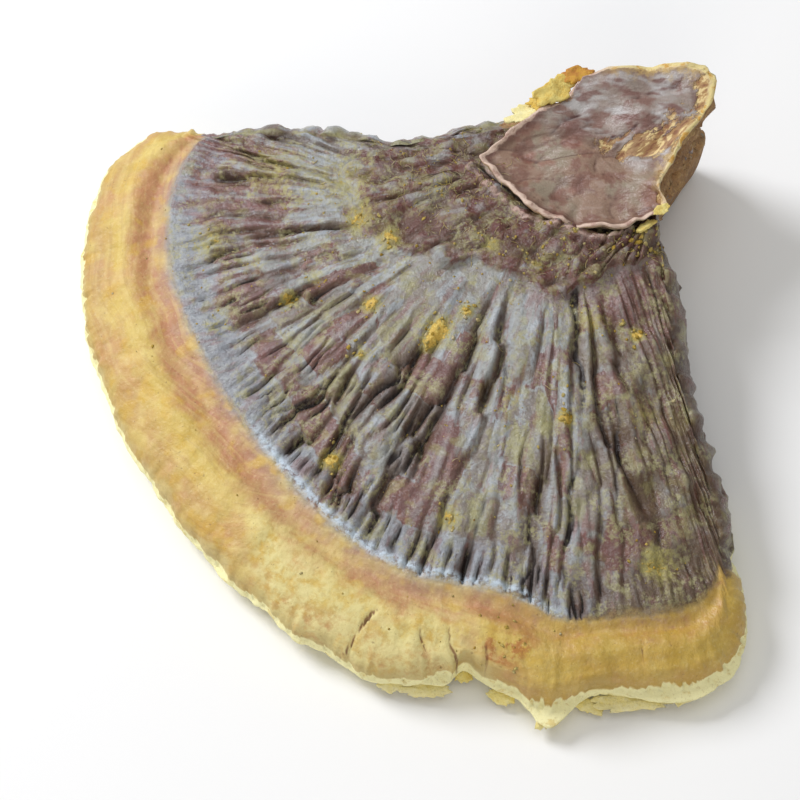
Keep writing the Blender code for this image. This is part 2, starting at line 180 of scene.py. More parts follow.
# Where the torn stub falls straight down: share of the fall that each zone covers, height of the step
# under its lip and over its foot, and where its ledge lies between the neck and the rim
WALL_SHARES = {"boss": (0, 0.3), "crust": (0.3, 0.8), "margin": (0.8, 1)}
WALL_STEP = 1
WALL_LEDGE = 0.4

# The flat pore face: its middle, where its lip's inner side ends as a share of the outline's size, and
# where it starts to touch the ground
UNDER_MIDDLE = (0, 4)
UNDER_EDGE = 0.86
UNDER_FLAT = 0.7

# How high the lip's inner side ends, as a share of the lip's height
LIP_INNER = 0.35

# The ball that the bracket is pressed from: columns of faces round it, and for each zone of the bracket
# its rows of faces and how many times they are split in four
BALL_COLUMNS = 200
COLUMN_SPLITS = 4
ZONES = (
    ("plate", 18, 0), ("lip", 5, 1), ("boss", 12, 1), ("inner", 15, 1), ("outer", 10, 2), ("margin", 6, 2),
    ("rim", 4, 2), ("tuck", 3, 1), ("under", 11, 0),
)
CRUST_SPLIT = 0.45
BACK_SPREAD = 1.4

# The two lines that each zone of the cap lies between, and the rim's rounding measured along its curve, as
# a share of its width
CAP_LINES = {"boss": ("neck", "ledge"), "crust": ("ledge", "border"), "margin": ("border", "shoulder")}
ROUNDING = 1.3

# Length of a quarter round over the straight line between its ends
QUARTER_ARC = 1.11

# How far the border of the crust and the rim's shoulder are evened out to each side, in millimetres
BORDER_EVEN = 15
SHOULDER_EVEN = 14
SHOULDER_LEAST = 1.4

# The pale tube layer that shows under the golden roll: its least width in millimetres, how wide the golden
# rounding is, and how deep the notch between them is
TUBE_LEAST = 0.9
ROLL_WIDE = 3
NOTCH_DEPTH = 0.35

# How much narrower the pale margin is along the front than the solid's roll, in millimetres, and where
# that is round the rim: its middle and its width in stations
FRONT_TRIM = 2.2
FRONT_AT = (26.5, 4)

# The gap that is left between the bracket and the solid's box, in metres
BOX_GAP = 0.00005

# Where no margin shows, the crust runs on over the rim by this far, in millimetres
CRUST_OVER = 24

# What each point of the skin tells the materials: millimetres outwards from the line where the crust meets
# the margin, share of the way across the margin, height on a rib, which also falls on each fold's steep side
# so that the colour there is darkened as painted shade, depth of a crease, dust, bare torn flesh, boss, pore
# face, share of the plate's size, millimetres along the rib from the ledge, tone, right side, tube layer, and
# where a painted glint, a pale bluish reflection, lies along the crust's front hem
MARKS = (
    "border", "band", "rib", "crease", "dust", "torn", "boss", "under", "edge", "run", "zone", "side", "tube",
    "frost",
)

# The step between two layers of a material's noise along each axis, the size that pores are drawn at in
# millimetres, and how strongly dried resin and dried cork bend light
LAYER_STEP = (17.3, 9.1, 5.7)
PORE_SIZE = 0.55
RESIN_IOR = 1.5
CORK_IOR = 1.45

# The materials of the bracket, slot by slot, with the looks that each is made of, and how far from the line
# between crust and margin each look stands alone, in millimetres
SKINS = {
    "meeting": ("crust_meets_velvet_margin", ("crust", "margin")),
    "plate": ("leathery_stub_skin", ("plate",)),
    "pores": ("felted_pore_layer", ("pores",)),
    "crust": ("bloomed_lacquer_crust", ("crust",)),
    "margin": ("velvety_margin", ("margin",)),
}
SLOTS = list(SKINS)
CRUMB_SKIN = ("dried_crumbs_and_fibres", ("crumbs",), CORK_IOR)
FLAKE_SKIN = ("torn_cork_flesh", ("flakes",), CORK_IOR)
MEETING = 2.6

# The folds of the crust, coarse to fine: how many go round the rim, how high they are in millimetres, how
# strong they are at least, how dark their valleys are painted as painted shade, and how much the tone differs
# from one to the next, where folds with a tone also get painted shade on their steep side
FOLDS = (
    (31, 1.4, 0.35, 0.9, 0.62), (72, 0.95, 0.25, 0.9, 0.5),
    (138, 0.28, 0.05, 0.6, 0), (230, 0.15, 0.05, 0.6, 0),
)

# The way once round the rim, in millimetres, and where the crest of a fold is on the way to the next one
RIM_ROUND = 370
CREST_AT = 0.7

# How far apart the noise of two growth rings is read, and the numbers that scatter the tones of the tiles
# between ribs and rings
RING_STEP = 5.3
TILE_STEPS = (12.9898, 78.233, 437.585)

# The wrinkles of the bare sides: height, width and length in millimetres, and the layer of their noise
SIDE_FOLDS = ((1.3, 3.8, 8, 61), (0.65, 1.7, 3.5, 62), (0.7, 24, 2.1, 63))

# Soft noise by name: the height and the size in millimetres of each of its layers, and a layer number that
# gives each its own pattern
GRAINS = {
    "ledge": ((2.6, 5, 1),), "score_x": ((1.1, 5, 2), (0.35, 1.8, 3)),
    "score_y": ((1.1, 5, 8), (0.35, 1.8, 9)), "score_depth": ((0.9, 4, 5),),
    "plate_edge": ((0.045, 5, 3), (0.035, 1.8, 5)), "lip_wave": ((1.3, 7, 1), (0.6, 2.4, 4)),
    "lip": ((1, 5, 9),), "plate_fold": ((2.2, 5, 33), (0.8, 1.8, 34)), "plate_skin": ((0.14, 1.5, 9),),
    "peel_streaks": ((0.9, 1, 59), (0.3, 0.4, 60)), "far_side": ((3, 6, 4),),
    "ring_wobble": ((2.4, 19, 21), (1.1, 6, 22)), "ring_swell": ((0.8, 12, 15),),
    "plain_hem": ((1.2, 4, 64),), "grey_hem": ((2, 2.2, 25),), "maroon_ring": ((2.5, 5, 26),),
    "boss_skin": ((0.2, 1.1, 5),), "boss_tone": ((0.5, 4, 57),), "boss_end": ((7, 6.5, 23),),
    "broken_ledge": ((0.9, 8, 6),), "shelf": ((1.3, 6, 55), (0.5, 2, 56)), "ledge_foot": ((0.25, 0.95, 5),),
    "crust_skin": ((0.12, 1.3, 6), (0.9, 9.5, 27)), "right_lumps": ((1.5, 5.2, 16),),
    "dust_heaps": ((0.5, 1.6, 58),), "margin_waves": ((0.55, 9, 2), (0.25, 3.2, 3)),
    "margin_skin": ((0.22, 2.4, 6), (0.08, 0.9, 7)), "margin_tones": ((6, 12, 28),),
    "ragged_end": ((1.6, 4.5, 35),), "ragged_tubes": ((0.7, 2.6, 7), (0.45, 1.1, 8)),
    "rim_bulge": ((0.45, 5, 2), (0.35, 1.9, 3), (0.2, 0.9, 4)), "seam": ((1, 2, 6),),
    "side_start": ((7, 9, 17),), "side_skin": ((0.5, 3, 13),), "side_tone": ((0.3, 3, 14),),
    "torn_wall": ((1.6, 5, 6), (0.4, 1, 8)), "torn_strips": ((0.8, 2, 7),), "hollows": ((0.5, 14, 2),),
    "pore_face": ((1, 5, 3),),
}

# Where the crust leans to one of its tones: place in plan and reach along x and y in millimetres, the tone,
# and how strongly. Tone 0 is olive dust, 0.3 brown, 0.5 grey bloom and 1 bare maroon lacquer
# The broad leanings at (-34, 52) and (-30, 38) darken the upper left towards maroon: partly the crust's own
# tone, partly painted shade.
LEANINGS = (
    (43.6, 15, 11, 10, 0.92, 0.9), (35, 3, 5, 3.2, 0.05, 0.9), (34.5, -32, 7, 3, 1, 0.9),
    (45.6, -35, 5, 4, 0, 0.9), (43.5, -3, 5, 6, 0.25, 0.6), (27.5, 2, 3, 4.5, 1, 0.8),
    (20, 9.5, 8, 5.5, 0.52, 0.8), (11, -6, 5, 8, 0.52, 0.7), (5, -19, 5, 5, 0.85, 0.6),
    (-19, 1, 6, 5, 0.85, 0.6), (-27, 15, 5, 6, 0.85, 0.5), (-12, -21, 7, 3, 0.9, 0.6),
    (-34, 29, 6, 5, 0.15, 0.6), (-14, 44, 9, 5, 0.22, 0.6), (-34, 52, 18, 9, 0.86, 0.9),
    (27.5, 15.5, 4, 5, 1, 0.7), (0, 22, 9, 6, 0.45, 0.5), (-32, 40, 10, 10, 0.7, 0.7),
    (-24, 26, 8, 8, 0.64, 0.5), (-20, 48, 8, 5, 0.4, 0.5), (20, -33, 5, 4, 0.3, 0.6),
    (33, -20, 4, 8, 0.3, 0.6), (-40, 20, 8, 30, 0.42, 0.6), (51, -18, 6, 24, 0.34, 0.7),
    (14, 26, 12, 5, 0.85, 0.5), (-30, 38, 18, 16, 0.77, 0.7),
)

# The margin's colours from the line where the crust ends, 0, to the rim's outermost line, 1, and under it
MARGIN_BANDS = (
    (0, "#9c9086"), (0.06, "#a6826a"), (0.18, "#b17c58"), (0.31, "#b58253"), (0.43, "#c9aa55"),
    (0.56, "#c9ac54"), (0.76, "#b89050"), (0.87, "#c2a25a"), (0.93, "#e6d594"), (1.04, "#ece2b0"),
    (1.16, "#cbb487"), (1.35, "#a3865a"), (1.5, "#8d7048"),
)

# What the margin's bands are scaled by, so that the last of them lies below 1
BAND_SCALE = 0.625

# The soft lights: name, place and size in metres, and colour, with the colour of the even light all round,
# and the places that lights and camera look at
LAMPS = (
    ("window_light", (-0.6, 0.4, 0.62), 0.4, "#f6f8ff"),
    ("front_fill", (-0.05, -0.95, 0.5), 0.7, "#fff6ea"),
    ("top_light", (0.05, 0.1, 1), 0.8, "#ffffff"),
)
SKY_COLOUR = "#eef1f5"
LAMP_TARGET = Vector((0, 0, 0.01))
CAMERA_TARGET = Vector((0, 0, 0.008))

# The floor's radius, the camera's sensor and the nearest that it sees, in metres and millimetres
FLOOR_RADIUS = 3
SENSOR_WIDTH = 36
SEEN_FROM = 0.01

# Deep creases of the crust, cut in and painted near black as painted shade: the two ends in plan, in
# millimetres, depth and half width
CREASES = (
    (-12.5, -1.5, -26.2, -8.1, 1.1, 0.45), (3.4, -9.2, -9.8, -25.5, 0.9, 0.5),
    (1.3, -13.5, -3.4, -20.4, 0.9, 0.4), (15.1, -22.2, 9.8, -37.2, 1.1, 0.45),
    (30.9, -10.8, 26.8, -40.2, 1.6, 0.6), (-8.7, 3.9, -17.2, -2.2, 0.7, 0.4),
    (30.5, 20.9, 31.5, -11.8, 1.5, 0.55), (6.1, -3.7, -7.7, -21.3, 0.6, 0.5),
    (19.3, 8.3, 16.2, -19.5, 0.8, 0.5), (37.9, 3, 36.8, -30.2, 0.9, 0.5), (-17.8, 10.3, -28.4, 6.8, 0.7, 0.4),
    (-4.5, 15, -15.1, 1.6, 0.6, 0.5), (43.2, -16.1, 44.8, -37.8, 0.8, 0.5),
    (22.5, -19.6, 20.4, -40.1, 0.8, 0.4), (-20, 24, -40, 22.5, 0.6, 0.4), (-22, 34, -41, 37.5, 0.6, 0.4),
    (-14, -14.5, -19.5, -20, 0.7, 0.35), (12, 4, 3, -16, 0.7, 0.4),
)

# Cracks and folds of the margin, cut in and painted dark brown as painted shade: the two ends in plan, in
# millimetres, depth and half width
CRACKS = (
    (-4.2, -41.8, -7.7, -46.3, 0.8, 0.2), (-7.3, -45.8, -12.4, -50.2, 0.8, 0.2),
    (3.4, -44.5, 5, -54.7, 0.5, 0.25), (7.7, -45.8, 9.3, -51.6, 0.6, 0.25),
    (14.6, -47.5, 14, -55.5, 0.6, 0.25), (-52, 12, -55.5, 11, 0.3, 0.2), (40, -46, 41.5, -54, 0.4, 0.3),
    (-31, -24, -35, -28.5, 0.3, 0.25), (20, -50, 21.5, -56, 0.4, 0.3),
)

# Creases of the stub's plate, as above, painted dark as painted shade
PLATE_CREASES = (
    (38.5, 50.5, 54, 56, 0.35, 0.5), (34, 44, 52, 49, 0.5, 0.5), (24, 45, 36, 52, 0.35, 0.6),
    (22, 40, 33, 47, 0.3, 0.5), (41, 41, 49, 44, 0.35, 0.4),
)

# The fold between the two flaps of the stub's skin: its two ends in plan, in millimetres
PLATE_FOLD = (26, 48.9, 47, 38)

# Where the stub's skin has peeled off: x, y, half length and half width, in millimetres
PEELS = (
    (43.6, 43.2, 9, 2.6), (50.5, 45, 3.6, 5), (55.6, 52, 2.6, 5.5), (47.2, 33, 1.3, 5), (29.5, 53.5, 2.2, 2),
)

# The way that the torn streaks in them run, in degrees from the x axis
PEEL_TURN = 38

# Patches of mustard spore dust: x, y, radius in millimetres, and strength
DUST_SPOTS = (
    (-35.2, 29.7, 4.2, 0.75), (-5.6, 13.4, 2, 1.3), (6.6, 8.1, 2.6, 1.4), (11.4, 11.3, 1.6, 1.2),
    (41.6, 7.2, 1.5, 1.4), (28.4, -9.6, 1.5, 1.5), (-12.5, -15.4, 2.2, 1.3), (8.2, -26.4, 2.4, 1),
    (-20.4, 15.8, 1.7, 1.1), (-7.7, 31.6, 2.8, 0.9), (4.5, 5.4, 1.6, 1.1), (-7.2, 3.8, 1.4, 1),
    (43.5, -34.5, 3.8, 0.9), (-2.4, 26.5, 2.4, 1.1), (-27, 24, 2.4, 0.6), (-24, 44, 7.5, 0.6),
    (-10, 40, 7, 0.6), (19, -6, 2.4, 0.6), (34, 9, 3, 0.7), (42, -8, 3.2, 0.6), (15.5, -50, 3.6, 1),
    (20.5, -49, 3, 0.7), (10, -46.5, 3, 0.5), (-46, 8, 3.5, 0.5), (16, 24, 2.2, 0.8), (-34, 12, 2.2, 0.5),
    (24, 20, 2, 0.8), (-16, 20, 2, 0.7),
)

# Crumbs that are strewn over fields: middle and spread in plan, number, size in millimetres and paleness
CRUMB_FIELDS = (
    (14, 34, 13, 8, 120, 0.26, 0.6), (34, 22, 9, 4, 60, 0.3, 0.6), (42.5, 25, 2.6, 1.6, 36, 0.5, 0.55),
    (5, -5, 24, 22, 110, 0.2, 0.5), (24, 51, 3, 2, 24, 0.35, 0.8), (-20, 30, 18, 14, 60, 0.18, 0.6),
)

# Crumbs on a dust patch: their spread as a share of its radius, their size in millimetres and their paleness
DUST_CRUMBS = (0.75, 0.32, 0.55)

# Height that crumbs and fibres are dropped from, and the height over which they would lie on the plate,
# where there are none, in millimetres
DROP_FROM = 60
OFF_PLATE = 24.6

# Fibres: middle and spread of each field in plan, number, and greatest length in millimetres
FIBRE_FIELDS = (
    (9, 38, 5, 5, 110, 2.2), (20, 27, 8, 3, 46, 1.9), (40, 23.5, 5, 2, 26, 2), (-2, 40, 9, 5, 34, 2.2),
    (30, 8, 12, 10, 16, 2.4),
)

# How far a fibre may sink below its middle and rise over it, and the gap under it, in millimetres
FIBRE_DIP = 0.8
FIBRE_RISE = 1.2
FIBRE_GAP = 0.05

# Torn flakes of flesh: place, length, width and thickness in millimetres, turn and tilt in degrees, curl
# across it, and paleness from 0 to 1
FLESH_FLAKES = (
    (23.6, 49.6, 26.6, 8, 4.2, 0.9, 24, -14, 0.25, 0.98),
    (28.6, 53.6, 28.6, 9.4, 4.4, 1.5, 36, 22, 0.35, 0.66), (32.5, 56.2, 29.2, 6, 3, 1.2, 16, 10, 0.3, 0.3),
    (26.4, 51.4, 27, 6, 3.2, 1, 0, 0, 0.3, 0.52), (41, 24.9, 22.6, 5.4, 2.2, 0.8, 12, 10, 0.3, 0.66),
    (44.2, 26.8, 24.2, 3.6, 1.9, 0.8, 40, -20, 0.3, 0.72), (38.2, 24, 22.2, 3.2, 1.6, 0.7, -25, 0, 0.3, 0.55),
    (46.6, 28.2, 27, 3.4, 1.6, 0.6, 25, 10, 0.2, 0.75),
)

# Least height of a flake over the ground, in millimetres
FLAKE_GAP = 0.05

# Chips of the pore layer that stick out under the rim, as above
PORE_CHIPS = (
    (4.5, -53, 2.2, 8, 3.4, 1.3, 3, 14, 0.1, 1), (-1.6, -52.2, 2.2, 4.6, 2.4, 1.1, -12, 14, 0.1, 1),
    (39.5, -55.2, 2.2, 13, 3.4, 1.4, 3, 12, 0.1, 0.98), (48.6, -54, 2.4, 7, 2.8, 1.2, 14, 12, 0.1, 0.95),
    (25, -56.6, 2.2, 6.4, 4.4, 1.5, 80, 8, 0.05, 0.93), (31.6, -55.4, 1.7, 6, 3, 1.1, -22, 8, 0.1, 0.9),
    (10.6, -50.6, 1.8, 3.6, 2.2, 0.9, 10, 10, 0.1, 0.8), (17, -54.4, 1.9, 5, 2.2, 0.9, -24, 8, 0.1, 0.85),
)


def linear(code):
    """Return the linear colour of an sRGB hex code."""
    parts = [int(code[i : i + 2], 16) / 255 for i in (1, 3, 5)]
    return [part / 12.92 if part <= 0.04045 else ((part + 0.055) / 1.055) ** 2.4 for part in parts]


def colour_of(name, description, code):
    """Return a colour property with a hex code as its default."""
    return FloatVectorProperty(
        name=name, description=description, default=linear(code), min=0, max=1, size=3, subtype="COLOR"
    )


def share_of(name, description, default=1):
    """Return a property that scales something, 1 being as on the dried bracket."""
    return FloatProperty(name=name, description=description, default=default, min=0, max=2, subtype="FACTOR")


def length_of(name, description, default, most):
    """Return a length property, its default and its most given in millimetres."""
    shown = {"name": name, "description": description, "precision": 4, "unit": "LENGTH"}
    return FloatProperty(default=default * MM, min=0, max=most * MM, **shown)


def power_of(name, description, watts):
    """Return a property for the power of a lamp."""
    return FloatProperty(name=name, description=description, default=watts, min=0, unit="POWER")


class BracketSizes(bpy.types.PropertyGroup):
    """Sizes of the bracket's fine forms."""

    rib_height: share_of("Rib height", "Height of the wrinkled ribs, 1 being that of the dried bracket")
    crease_depth: share_of("Crease depth", "Depth of the deep creases, 1 being the deepest seen", 0.9)
    ring_spacing: length_of("Ring spacing", "Distance from one growth ring to the next", 7.2, 30)
    ring_swell: length_of("Ring swell", "How high each growth ring swells before it drops", 0.5, 3)
    lip_height: length_of("Stub lip", "How far the thin lip of the stub's skin is turned up", 0.9, 3)
    crumbs: IntProperty(
        name="Crumbs per dust patch",
        description="How many crumbs lie on a patch of spore dust of full strength",
        default=9,
        min=0,
        max=60,
    )
    fibre_length: share_of("Fibre length", "Length of the torn fibres, 1 being that on the dried bracket")
    fibre_width: length_of("Fibre width", "Thickness of the torn fibres", 0.1, 1)


class BracketColours(bpy.types.PropertyGroup):
    """Colours of the bracket's skins, its torn flesh and its dust."""

    bloom: colour_of("Grey bloom", "Dull grey film of the dried lacquer on the ribs", "#8f8f8a")
    lacquer: colour_of("Bare lacquer", "Red brown lacquer where the film is rubbed off", "#6d453f")
    film: colour_of("Olive film", "Thin film of spore dust over the lacquer", "#8f8a64")
    spores: colour_of("Spore dust", "Mustard spore dust where it lies thick", "#c9a545")
    # Painted shade: the near black that the creases are painted with.
    crease: colour_of("Creases", "Bottoms of the deep creases", "#1b0f0e")
    margin_cream: colour_of("Margin cream", "Palest stretch of the margin, at its front", "#ddd292")
    margin_gold: colour_of("Margin gold", "Deepest stretch of the margin, at its right", "#bc9a3e")
    tubes: colour_of("Tube layer", "Cut edge of the tube layer under the margin", "#f2ebb2")
    stub_skin: colour_of("Stub skin", "Leathery skin that dried over the torn stub", "#907562")
    flesh: colour_of("Torn flesh", "Cork like flesh of the torn wall", "#a37c50")
    pore_face: colour_of("Pore face", "Felted layer of pores underneath", "#cdb88c")
    paper: colour_of("Floor", "Matt paper that the bracket lies on", "#f2f1ee")


class StudioSettings(bpy.types.PropertyGroup):
    """The lights and the camera."""

    window_light: power_of("Window light", "Soft light from the left and behind", 8.1)
    front_fill: power_of("Front fill", "Weak light from in front", 2.6)
    top_light: power_of("Top light", "Weak light from straight above", 1.8)
    sky: FloatProperty(name="Sky", description="Strength of the even light all round", default=0.38, min=0)
    camera_rise: FloatProperty(
        name="Camera rise",
        description="Height of the camera over the horizon",
        default=math.radians(62),
        min=0,
        max=math.radians(90),
        subtype="ANGLE",
    )
    camera_distance: FloatProperty(
        name="Camera distance",
        description="Distance from the camera to the bracket",
        default=0.4,
        min=0.05,
        unit="LENGTH",
    )
    lens: FloatProperty(name="Lens", description="Focal length", default=100, min=10, unit="CAMERA")


def sizes():
    """Return the sizes set in the sidebar."""
    return bpy.context.scene.reishi_sizes


def spline(knots, values, period, at):
    """Return a closed cubic through values at rising knots, read at each place in at."""
    knots = np.asarray(knots, float)
    values = np.asarray(values, float)
    steps = np.diff(np.append(knots, knots[0] + period))
    rises = (np.roll(values, -1, axis=0) - values) / steps[:, None]
    before = np.roll(steps, 1)[:, None]
    slopes = (rises * before + np.roll(rises, 1, axis=0) * steps[:, None]) / (before + steps[:, None])
    place = knots[0] + (np.asarray(at, float) - knots[0]) % period
    index = np.searchsorted(knots, place, side="right") - 1
    step = steps[index][:, None]
    u = ((place - knots[index]) / steps[index])[:, None]
    first, last = values[index], np.roll(values, -1, axis=0)[index]
    start, end = slopes[index] * step, np.roll(slopes, -1, axis=0)[index] * step
    from_ends = first * (2 * u**3 - 3 * u**2 + 1) + last * (3 * u**2 - 2 * u**3)
    return from_ends + start * (u**3 - 2 * u**2 + u) + end * (u**3 - u**2)


def smooth(low, high, value):
    """Return 0 below low and 1 above high, with a soft ramp between them."""
    share = np.clip((value - low) / (high - low), 0, 1)
    return share * share * (3 - 2 * share)


def bump(centre, width, value):
    """Return a soft hill that is 1 at its centre and fades over its width."""
    return np.exp(-(((value - centre) / width) ** 2))


def hill(places, x, y, long, wide):
    """Return a soft hill that is 1 at a place in plan and fades over its reach along x and y."""
    return bump(0, 1, np.hypot((places[:, 0] - x) / long, (places[:, 1] - y) / wide))


def mix(first, second, share):
    """Return the places on the way from first to second."""
    return first + (second - first) * np.asarray(share)[..., None]


def level(spots):
    """Return places in plan as places at height 0."""
    return np.column_stack((spots, np.zeros(len(spots))))


def lengths_of(rows):
    """Return the length of each row."""
    return np.linalg.norm(rows, axis=1)


def grain(places, size, layer=0):
    """Return soft noise, about -0.7 to 0.7, at rows of places, with lumps of one size."""
    scaled = np.asarray(places) / size
    scaled[:, 2] += layer
    return np.array([noise.noise(place) for place in scaled.tolist()])


def grains(name, places):
    """Return the named soft noise at some places: the sum of its layers."""
    return sum(height * grain(places, size, layer) for height, size, layer in GRAINS[name])


def pushed(places, reach, size, layers):
    """Return places pushed about by soft noise, one layer of it for each axis."""
    return places + reach * np.column_stack([grain(places, size, layer) for layer in layers])


def unrolled(column, run, wide, long):
    """Return places on the unrolled cap, scaled: the way round the rim over wide and a run over long."""
    return np.column_stack((column.round / wide, run / long))


def lumps(kind, x, y):
    """Return the height of one kind of soft lumps at some places in plan."""
    height, size, layer = kind
    return height * grain(np.stack((x / size, y / size, np.full_like(x, layer)), axis=1), 1)


def valleys(values, sharpness):
    """Return 0 at the bottom of narrow creases and up to 1 on the round ribs between them."""
    return np.minimum(np.abs(values) * 2.8, 1) ** sharpness


def outline_at(stations):
    """Return the points of the rim's outermost line at some stations."""
    points = np.array(OUTLINE)
    chords = lengths_of(np.roll(points, -1, axis=0) - points)
    knots = np.append(0, np.cumsum(np.sqrt(chords)))
    places = np.interp(stations, np.arange(len(points) + 1), knots)
    return spline(knots[:-1], points, knots[-1], places)


def column_stations(number):
    """Return the stations of evenly spread columns, and how far round the rim each one is."""
    fine = np.linspace(0, len(OUTLINE), 6000)
    lengths = lengths_of(np.diff(outline_at(fine), axis=0))
    middles = (fine[1:] + fine[:-1]) / 2
    on_fan = (middles > FAN_START) & (middles < FAN_END)
    total = np.append(0, np.cumsum(lengths / np.where(on_fan, 1, BACK_SPREAD)))
    stations = np.interp(np.arange(number) * total[-1] / number, total, fine)
    walked = np.append(0, np.cumsum(lengths))
    return stations, np.interp(stations, fine, walked), walked[-1]


def into_cap(stations):
    """Return directions into the cap, evened out so that small notches do not turn them."""
    spread = np.linspace(-EVEN_OVER, EVEN_OVER, 9)
    ahead = sum(outline_at((stations + shift + EVEN_STEP) % len(OUTLINE)) for shift in spread)
    behind = sum(outline_at((stations + shift - EVEN_STEP) % len(OUTLINE)) for shift in spread)
    along = ahead - behind
    return np.stack((-along[:, 1], along[:, 0]), axis=1) / lengths_of(along)[:, None]


def plate_slope(x, y):
    """Return the height of the stub's slanted plate, before its dish and its lip."""
    back = PLATE_RISE_BACK * (y - PLATE_MIDDLE[1]) / PLATE_HALF
    right = PLATE_RISE_RIGHT * (x - PLATE_MIDDLE[0]) / PLATE_HALF
    return PLATE_HEIGHT + back + right + lumps(PLATE_LUMPS, x, y)


def dome(x, y):
    """Return the height of the crust without its relief."""
    across = (x - HUB[0]) / np.where(x < HUB[0], REACH_LEFT, REACH_RIGHT)
    along = (y - HUB[1]) / np.where(y < HUB[1], REACH_FRONT, REACH_BACK)
    fall = np.hypot(across, along) ** DOME_POWER
    return RIM_HEIGHT + (HUB_HEIGHT - RIM_HEIGHT) * (1 - fall) + lumps(WAVES, x, y)


def evened(line, walked, length, reach):
    """Return a closed line with its points evened out over a reach to each side, in millimetres."""
    around = np.arange(len(line))
    result = np.zeros_like(line)
    total = np.zeros(len(line))
    steps = int(reach / length * len(line) * 2) + 1
    for step in range(-steps, steps + 1):
        other = (around + step) % len(line)
        away = np.abs(walked[other] - walked)
        away = np.minimum(away, length - away)
        weight = np.maximum(1 - away / reach, 0)
        result += line[other] * weight[:, None]
        total += weight
    return result / total[:, None]


def make_columns(number):
    """Work out the plan and the heights of each column of points, from the plate to the rim."""
    stations, walked, length = column_stations(number)
    inward = into_cap(stations)
    plate, ledge, rim = (
        spline(np.array(table)[:, 0], np.array(table)[:, 1:], len(OUTLINE), stations)
        for table in (PLATE, LEDGE, RIM)
    )
    middle, lip, width, margin, wall = rim.T
    wall = np.clip(wall, 0, 1)
    width = np.maximum(width, 0)
    neck = mix(np.array(PLATE_MIDDLE), plate[:, :2], plate[:, 3])
    outer = outline_at(stations)
    shoulder = outer + inward * width[:, None]
    ledge_line = mix(ledge, mix(neck, shoulder, np.full(number, WALL_LEDGE)), wall)
    margin = margin - FRONT_TRIM * bump(*FRONT_AT, stations)
    margin_share = np.maximum(margin - width, MARGIN_LEAST) / lengths_of(shoulder - ledge_line)
    border = mix(shoulder, ledge_line, np.minimum(margin_share, MARGIN_MOST))
    border = evened(border, walked, length, BORDER_EVEN)
    fan = smooth(FAN_START - 0.5, FAN_START + 1.5, stations)
    fan = fan * (1 - smooth(FAN_END - 2, FAN_END + 0.5, stations))
    even = evened(shoulder, walked, length, SHOULDER_EVEN)
    inside = np.sum((even - outer) * inward, axis=1)
    even = even + inward * np.maximum(SHOULDER_LEAST - inside, 0)[:, None]
    shoulder = mix(even, shoulder, 1 - fan)
    way_out = (border - ledge_line) / lengths_of(border - ledge_line)[:, None]
    ledge_line = ledge_line + way_out * (grains("ledge", level(ledge)) * (1 - wall))[:, None]
    turn = walked / length * 2 * math.pi
    return {
        "station": stations,
        "edge": plate[:, :2],
        "edge_rise": plate[:, 2],
        "neck_share": plate[:, 3],
        "neck": neck,
        "ledge": ledge_line,
        "border": border,
        "shoulder": shoulder,
        "rim": outer,
        "out": -inward,
        "boss_length": lengths_of(ledge_line - neck),
        "crust_length": lengths_of(border - ledge_line),
        "margin_length": lengths_of(shoulder - border),
        "rim_length": lengths_of(outer - shoulder),
        "tuck": np.maximum(width, LEAST_TUCK),
        "middle": middle,
        "lip": np.maximum(lip, LEAST_LIP),
        "wall": wall,
        "fan": fan,
        "pale": pale_at(stations, 0),
        "turns": walked / length,
        "round": np.stack((np.cos(turn), np.sin(turn)), axis=1) * length / (2 * math.pi),
    }


def scored(lines, places):
    """Return how deep a set of scored lines is at some places, with the lines wandering a little."""
    x = places[:, 0] + grains("score_x", places)
    y = places[:, 1] + grains("score_y", places)
    depth = np.zeros(len(places))
    for x0, y0, x1, y1, deep, half in lines:
        run_x, run_y = x1 - x0, y1 - y0
        along = np.clip(((x - x0) * run_x + (y - y0) * run_y) / (run_x**2 + run_y**2), 0, 1)
        away = np.hypot(x - x0 - along * run_x, y - y0 - along * run_y)
        depth = np.maximum(depth, deep * np.sqrt(np.sin(np.pi * along)) * bump(0, half, away))
    return depth * (0.75 + grains("score_depth", places))


def dusted(places):
    """Return how thick the mustard dust lies at some places."""
    return sum(strength * hill(places, x, y, radius, radius) for x, y, radius, strength in DUST_SPOTS)


